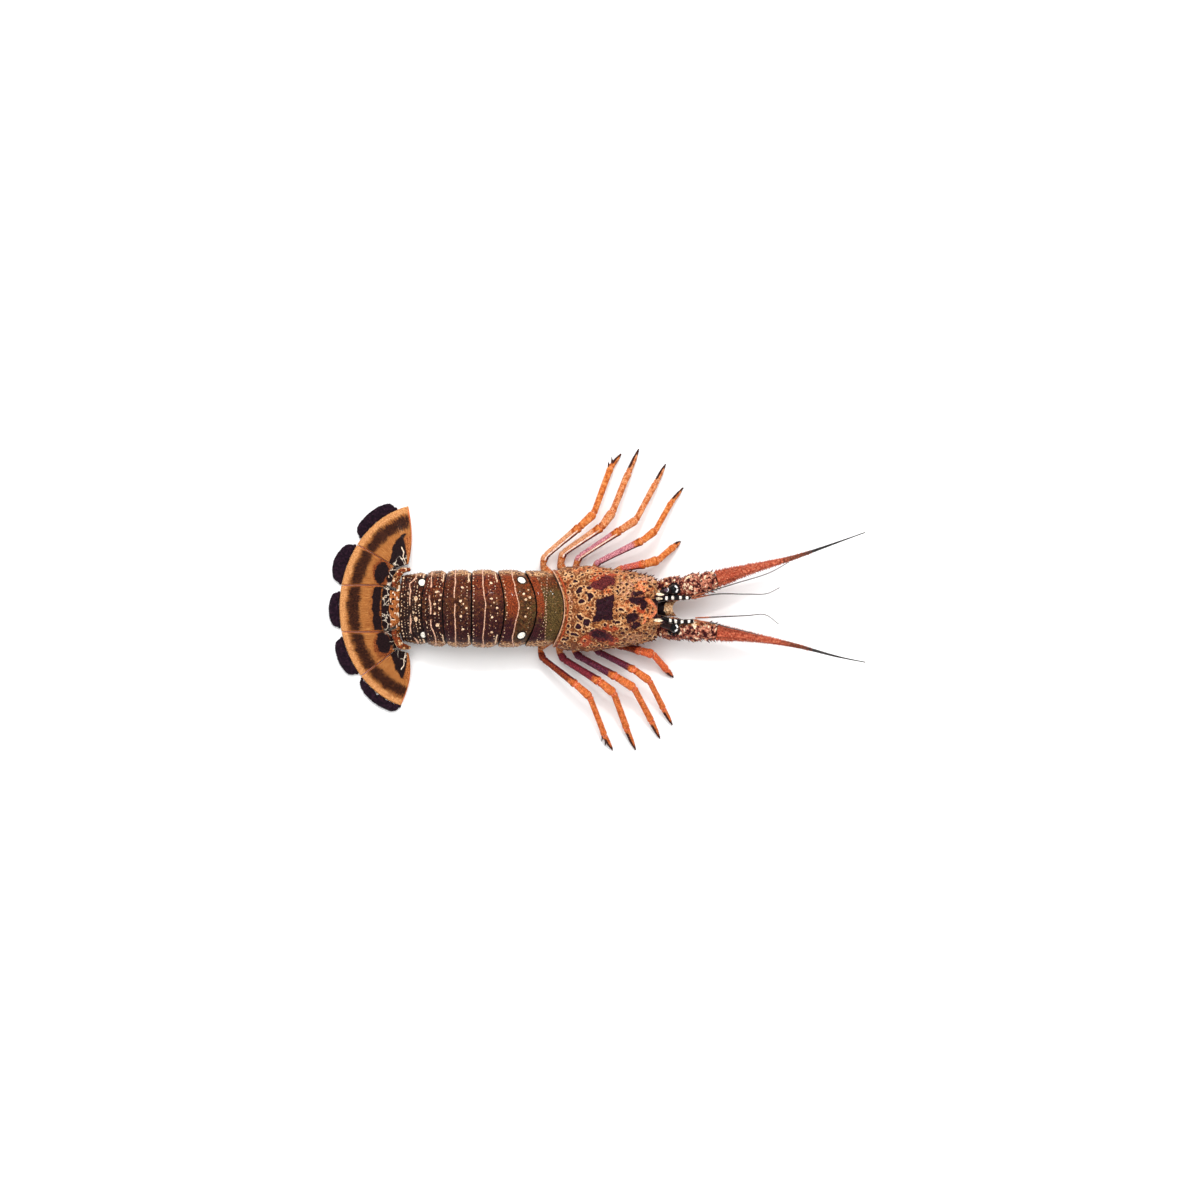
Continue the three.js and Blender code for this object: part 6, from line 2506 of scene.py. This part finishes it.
@dataclass
class Face:
    """Eyes, snout plate, belly plate and mouth legs."""

    eye: tuple[float, float, float] = (65.4, 16.2, 37.8)
    eye_root: tuple[float, float, float] = (53.8, 13, 35.6)
    eye_radius: float = 4.1
    stalk_radius: float = 2.7
    stalk_cells: tuple[int, int] = (40, 32)
    snout_cells: tuple[int, int] = (80, 80)
    snout_cap: float = 0.05
    belly_cells: tuple[int, int] = (140, 120)
    belly_cap: float = 0.03
    mouth_cells: tuple[int, int] = (160, 28)
    mouth_joints: tuple[float, ...] = (0.3, 0.55, 0.75, 0.9)
    spot: tuple[float, ...] = (665.4, 589.8, 2.1)  # the grey spot behind the left eye, in pixels
    snout: tuple[float, float, float, float, float] = (65.6, 51.9, 6.2, 29.6, 11)
    belly: Stations = field(
        default_factory=lambda: Stations(
            "x top low wide_top wide_low",
            (
                (-36, 10, 3, 15, 9), (-31, 9.9, 0, 19, 13.5), (-12, 9.9, 0, 19, 12.5),
                (8, 9.9, 0, 19, 10), (13, 9.9, 6.2, 18, 10), (38, 10.6, 8.3, 14, 10),
            ),
        )
    )
    mouth: tuple[float, ...] = (6, 15.5, 58, 2.5, 3.2, 5)  # y, back, front, radius, z, rise

    def build_eye(self, side: Side) -> None:
        """Model and dress an eye on its stalk."""
        flip = np.array((1, side.value, 1))
        centre, root = np.array(self.eye) * flip, np.array(self.eye_root) * flip
        bpy.ops.object.select_all(action="DESELECT")
        bpy.ops.mesh.primitive_uv_sphere_add(
            segments=56, ring_count=36, radius=self.eye_radius * MM, location=centre * MM
        )
        ball = bpy.context.object
        ball.name = ball.data.name = f"eye_{side.word}_skin"
        bpy.ops.object.transform_apply()
        places = Workshop.places(ball) / MM - centre
        turn = np.degrees(np.arctan2(places[:, 1] * side.value, places[:, 0]))
        level = np.hypot(places[:, 0], places[:, 1]) / self.eye_radius
        # painted highlights: white crescents on the top of each eyeball stand for the light's glints on it
        hooks = band(turn, -58, 4, 6) + band(turn, 20, 76, 6)
        crescent = band(level, 0.56, 0.88, 0.05) * hooks * (places[:, 2] > 0)
        Workshop.mark(ball, {"stalk": np.zeros(len(places)), "white": crescent})
        Workshop.soften(ball)
        tube = Tube(
            (root, lerp(root, centre, 0.55), lerp(root, centre, 0.85)),
            (self.stalk_radius * 0.8, self.stalk_radius, self.stalk_radius * 1.25),
            1.0,
            (0.05, 0.05),
        )

        def masks(along: Array, across: Array, points: Array) -> Masks:
            """A dark stalk, the left one with a grey spot and a white arc."""
            middle = from_photo([self.spot])[0]
            away = np.hypot(*(points[:, :2] - middle).T) / PIXEL
            ahead = smoothstep(points[:, 0] - middle[0], 0.2, 0.9)
            ring = ahead * band(away, self.spot[2], self.spot[2] + 0.7, 0.25)
            return {
                "stalk": np.ones(len(along)),
                "grey": smoothstep(away, self.spot[2], self.spot[2] - 0.6),
                "white": 0.8 * ring,
            }

        stalk = Skin("eye_stalk", self.stalk_cells, tube.shape, lumpy((0.2, 1.6)), masks).build()
        Workshop.join(ball, stalk)
        deliver(ball, EYE_GLOSS, Slot.EYE, f"eye_{side.word}")

    def build_snout(self) -> None:
        """Model and dress the plate between the antennae."""
        front, back, half, top, bottom = self.snout

        def form(along: Array, across: Array) -> Array:
            """Places on the plate's skin, closed by its two ends."""
            share = middle_share(along, self.snout_cap)
            width = half * read_smooth(np.array((0.9, 1, 1.04, 1)), share * 3)
            fall = 3.5 * share**2
            turn = across * ROUND
            middle = (top + bottom) / 2
            tall = (top - bottom) / 2 - fall
            y = width * np.cos(turn)
            z = middle + tall * np.sin(turn)
            closing = end_share(along, self.snout_cap)
            y = y * closing
            # the front edge is hollowed between two corners
            x = lerp(back, front, share) + share**2 * (3.4 * (y / half) ** 2 - 1.4)
            return np.stack([x, y, middle + (z - middle) * closing], -1)

        def masks(along: Array, across: Array, points: Array) -> Masks:
            """Black at the root and in the middle, painted shade under the horns, and a beige brim in front.
            """
            return {"dark": smoothstep(points[:, 0] - 0.06 * points[:, 1] ** 2, 58.2, 56.4)}

        def lumps(along: Array, across: Array, points: Array) -> Array:
            """The plate's unevenness, in millimetres."""
            return 0.35 * LUMPS.at(points, 2.4) * end_share(along, self.snout_cap)

        item = Skin("snout_plate_skin", self.snout_cells, form, lumps, masks).build()
        deliver(item, SNOUT_SHELL, Slot.JOINT, "snout_plate")

    def build_belly(self) -> None:
        """Model and dress the flat plate between the legs."""
        columns = self.belly.columns
        count = len(columns["x"])

        def form(along: Array, across: Array) -> Array:
            """Places on the plate's skin, closed by its two ends."""
            share = middle_share(along, self.belly_cap) * (count - 1)
            at = {key: np.interp(share, range(count), column) for key, column in columns.items()}
            high = at["top"] - GAP
            edge = lerp(at["wide_low"], at["wide_top"], 0.72)
            middle = (high + at["low"]) / 2
            ys = np.stack([at["wide_top"], edge, at["wide_low"]], -1)
            ys = np.concatenate([ys, -ys[:, ::-1], ys[:, :1]], axis=1)
            zs = np.stack([high, middle, at["low"], at["low"], middle, high, high], -1)
            place = across * 6
            step = np.minimum(np.floor(place).astype(int), 5)
            rows = np.arange(len(place))
            part = place - step
            y = lerp(ys[rows, step], ys[rows, step + 1], part)
            z = lerp(zs[rows, step], zs[rows, step + 1], part)
            closing = end_share(along, self.belly_cap)
            return np.stack([at["x"], y * closing, middle + (z - middle) * closing], -1)

        def creases(points: Array) -> Array:
            """Grooves across the plate between the legs' roots."""
            x, y = points[:, 0], np.abs(points[:, 1])
            return most(*(dent(x - c - 0.25 * y, 1.2) for c in (-24, -15, -5, 5))) * band(y, 2, 30, 1)

        def relief(along: Array, across: Array, points: Array) -> Array:
            """The plate's creases, cut upwards so that it still lies flat, in millimetres."""
            flat = smoothstep(points[:, 2], 9, 4)
            return -0.6 * creases(points) * flat - 0.12 * np.abs(LUMPS.at(points, 3))

        def masks(along: Array, across: Array, points: Array) -> Masks:
            """Darker creases."""
            return {"crease": creases(points)}

        item = Skin("belly_plate_skin", self.belly_cells, form, relief, masks).build()
        deliver(item, BELLY_SKIN, Slot.BELLY, "belly_plate")

    def build_mouth_leg(self, side: Side) -> None:
        """Model and dress a small leg under the mouth."""
        y, back, front, radius, z, rise = self.mouth
        line = [
            (
                lerp(back, front, u),
                side.value * (y + 2.6 * math.sin(math.pi * u)),
                z + rise * u - (1.4 if u > 0.9 else 0),
            )
            for u in (0, 0.45, 0.8, 1)
        ]
        tube = Tube(line, (radius, radius * 0.95, radius * 0.7, 0.7), 1.0, (0.02, 0.03))

        def waists(along: Array, across: Array, points: Array) -> Array:
            """Waists at the small leg's joints, in millimetres."""
            return -0.4 * sum(dent(along - place, 0.02) for place in self.mouth_joints)

        def masks(along: Array, across: Array, points: Array) -> Masks:
            """Tan with darker joints."""
            joints = sum(dent(along - place, 0.03) for place in self.mouth_joints)
            return {"tan": np.full(len(along), 0.8), "joint": 0.6 * joints}

        name = f"mouth_leg_{side.word}"
        item = Skin(name + "_skin", self.mouth_cells, tube.shape, waists, masks).build()
        hairs = Thorns(4, 1)
        draw = np.random.default_rng(Seed.MOUTH_HAIRS)
        for _ in range(80):
            at, turn = one(draw.uniform(0.5, 0.98)), one(draw.random())
            root = tube.shape(at, turn)[0]
            out = unit(root - Line(line).at(at)[0])
            hairs.add(root, out + (0.8, 0, 0), draw.uniform(0.6, 1.3), 0.18)
        Workshop.join(item, hairs.build("mouth_hairs", {"maroon": 0.8}))
        deliver(item, LEG_SHELL, Slot.LEG, name)

    def build(self) -> None:
        """Model and dress the face and the underside."""
        for side in Side:
            self.build_eye(side)
            self.build_mouth_leg(side)
        self.build_snout()
        self.build_belly()


LEFT_ANTENNA = Antenna(
    Side.LEFT,
    ((51.9, 15.4, 21.5), (74.4, 17.8, 24), (90, 20.6, 26.5), (101.6, 24.9, 28.5)),
    (9, 10.3, 9.5, 6.8),
    ((102.4, 25.2, 29.1), (127, 32.6, 29), (166.2, 43, 26), (205.3, 56.5, 20), (227.9, 64.6, 15)),
    (6, 4.2, 1.95, 0.75, 0.42),
)
RIGHT_ANTENNA = Antenna(
    Side.RIGHT,
    ((51.9, -15.4, 21.5), (74.4, -18.1, 24), (90, -18.8, 26.5), (101.6, -20.2, 28.5)),
    (9, 8.9, 8.4, 6.6),
    ((102.4, -20.4, 29.1), (127, -23.6, 29), (166.2, -30.8, 26), (205.3, -41, 20), (228.1, -45.6, 15)),
    (5.7, 3.9, 1.9, 0.75, 0.42),
)
LEFT_ANTENNULE = Antennule(
    Side.LEFT,
    ((53.4, 8.2, 33), (66, 9.3, 33.2), (79.6, 8.9, 32.6)),
    {
        "inner": (
            (80.4, 8.4, 32.2), (102, 12.2, 31.5), (127, 12.2, 29.5), (144, 12.6, 27), (155.1, 17.7, 25),
        ),
        "outer": (
            (80.4, 10, 33.4), (99, 15.6, 36.5), (118, 21.4, 36), (146, 30.2, 32), (163, 39.4, 29),
        ),
    },
    dots=(666.1, 672.4, 680.1, 686.7),
)
RIGHT_ANTENNULE = Antennule(
    Side.RIGHT,
    ((53.4, -8.2, 33), (68, -11, 33.2), (82.6, -10.6, 32.6)),
    {
        "inner": (
            (83.4, -7.9, 32.2), (102, -7.1, 31.5), (127, -6, 29.5), (143, -5.4, 27), (154.3, -13.2, 25),
        ),
        "outer": (
            (83.4, -10.2, 33.4), (100, -12.6, 35), (112, -16.2, 35.4), (126, -19.3, 34.6),
            (138.5, -22.8, 33),
        ),
    },
    dots=(670, 675.3, 681.6, 688.5, 694.2),
)


# ------------------------------------------------------------------ studio


@dataclass
class Studio:
    """The pale floor, the soft lights and the camera straight above."""

    middle: tuple[float, float] = (2.975, 7.225)  # what the photograph's centre shows
    view_width: float = 1020.0  # millimetres across the photograph
    distance: float = 6.0  # metres
    sensor: float = 36.0
    far: float = 50.0  # metres that the camera sees
    floor_half: float = 3.0
    suns: tuple[tuple[str, tuple[float, float, float], float, float], ...] = (
        ("key_light", (0.15, 0.85, 1.4), 50, 2.5),  # name, place, width in degrees, strength
        ("fill_light", (-0.4, -0.6, 1.4), 75, 0.95),
    )
    floor_drop: float = 0.0002  # metres that the floor lies below the claws
    paper: tuple[float, float] = (0.96, 0.98)  # how pale its paper is
    paper_roughness: float = 0.9
    spark_place: tuple[float, float, float] = (0.05, 0.9, 1.5)
    spark_size: float = 0.06
    spark_power: float = 5.0
    sky: float = 0.42

    def build_floor(self) -> None:
        """Lay the floor."""
        bpy.ops.object.select_all(action="DESELECT")
        bpy.ops.mesh.primitive_plane_add(size=2 * self.floor_half, location=(0, 0, -self.floor_drop))
        floor = bpy.context.object
        floor.name = floor.data.name = "floor"
        bpy.ops.object.transform_apply()
        graph = Graph("floor_paper")
        place = graph.node("ShaderNodeTexCoord", {}).outputs["Object"]
        tone = graph.spread(graph.noise(place, 30, 2), 0.3, 0.7)
        paper = graph.mix(tone, *((grey, grey, grey, 1) for grey in self.paper))
        graph.tree.links.new(paper, graph.shader.inputs["Base Color"])
        graph.shader.inputs["Roughness"].default_value = self.paper_roughness
        floor.data.materials.append(graph.material)

    @staticmethod
    def hang(
        name: str, lamp: bpy.types.Light, place: tuple[float, float, float]
    ) -> Item:
        """Hang a light that faces the lobster.

        Args:
            name: the light's name.
            lamp: the light.
            place: where it hangs, in metres.

        Returns:
            The light's object.
        """
        item = bpy.data.objects.new(name, lamp)
        bpy.context.scene.collection.objects.link(item)
        item.location = place
        item.rotation_euler = (-item.location).to_track_quat("-Z", "Y").to_euler()
        item.visible_camera = False
        return item

    def build_lights(self) -> None:
        """Hang the lights and set the sky."""
        for name, place, degrees, strength in self.suns:
            lamp = bpy.data.lights.new(name, "SUN")
            lamp.angle, lamp.energy = math.radians(degrees), strength
            self.hang(name, lamp, place).visible_glossy = False  # only the spark shows in the gloss
        spark = bpy.data.lights.new("spark_light", "AREA")
        spark.shape, spark.size, spark.energy = "DISK", self.spark_size, self.spark_power
        self.hang("spark_light", spark, self.spark_place)
        world = bpy.data.worlds.new("soft_sky")
        bpy.context.scene.world = world
        world.use_nodes = True
        sky = next(n for n in world.node_tree.nodes if n.type == "BACKGROUND")
        sky.inputs["Color"].default_value = (1, 1, 1, 1)
        sky.inputs["Strength"].default_value = self.sky
        bpy.context.scene.view_settings.view_transform = "Standard"

    def build_camera(self) -> None:
        """Set the camera straight above the photograph's centre."""
        lens = bpy.data.cameras.new("camera")
        lens.sensor_width = self.sensor
        lens.lens = self.sensor * self.distance / (self.view_width * MM)
        camera = bpy.data.objects.new("camera", lens)
        bpy.context.scene.collection.objects.link(camera)
        camera.location = (self.middle[0] * MM, self.middle[1] * MM, self.distance)
        camera.rotation_euler = (0, 0, 0)
        lens.clip_end = self.far
        bpy.context.scene.camera = camera

    def build(self) -> None:
        """Set up the studio."""
        self.build_floor()
        self.build_lights()
        self.build_camera()


def main() -> None:
    """Build the lobster piece by piece, then the studio round it."""
    logging.basicConfig(level=logging.INFO, format="%(name)s: %(message)s")
    Carapace().build()
    Tail().build()
    Fan().build()
    Legs().build()
    for antenna in (LEFT_ANTENNA, RIGHT_ANTENNA):
        antenna.build()
    for antennule in (LEFT_ANTENNULE, RIGHT_ANTENNULE):
        antennule.build()
    Face().build()
    Studio().build()


if __name__ == "__main__":
    main()
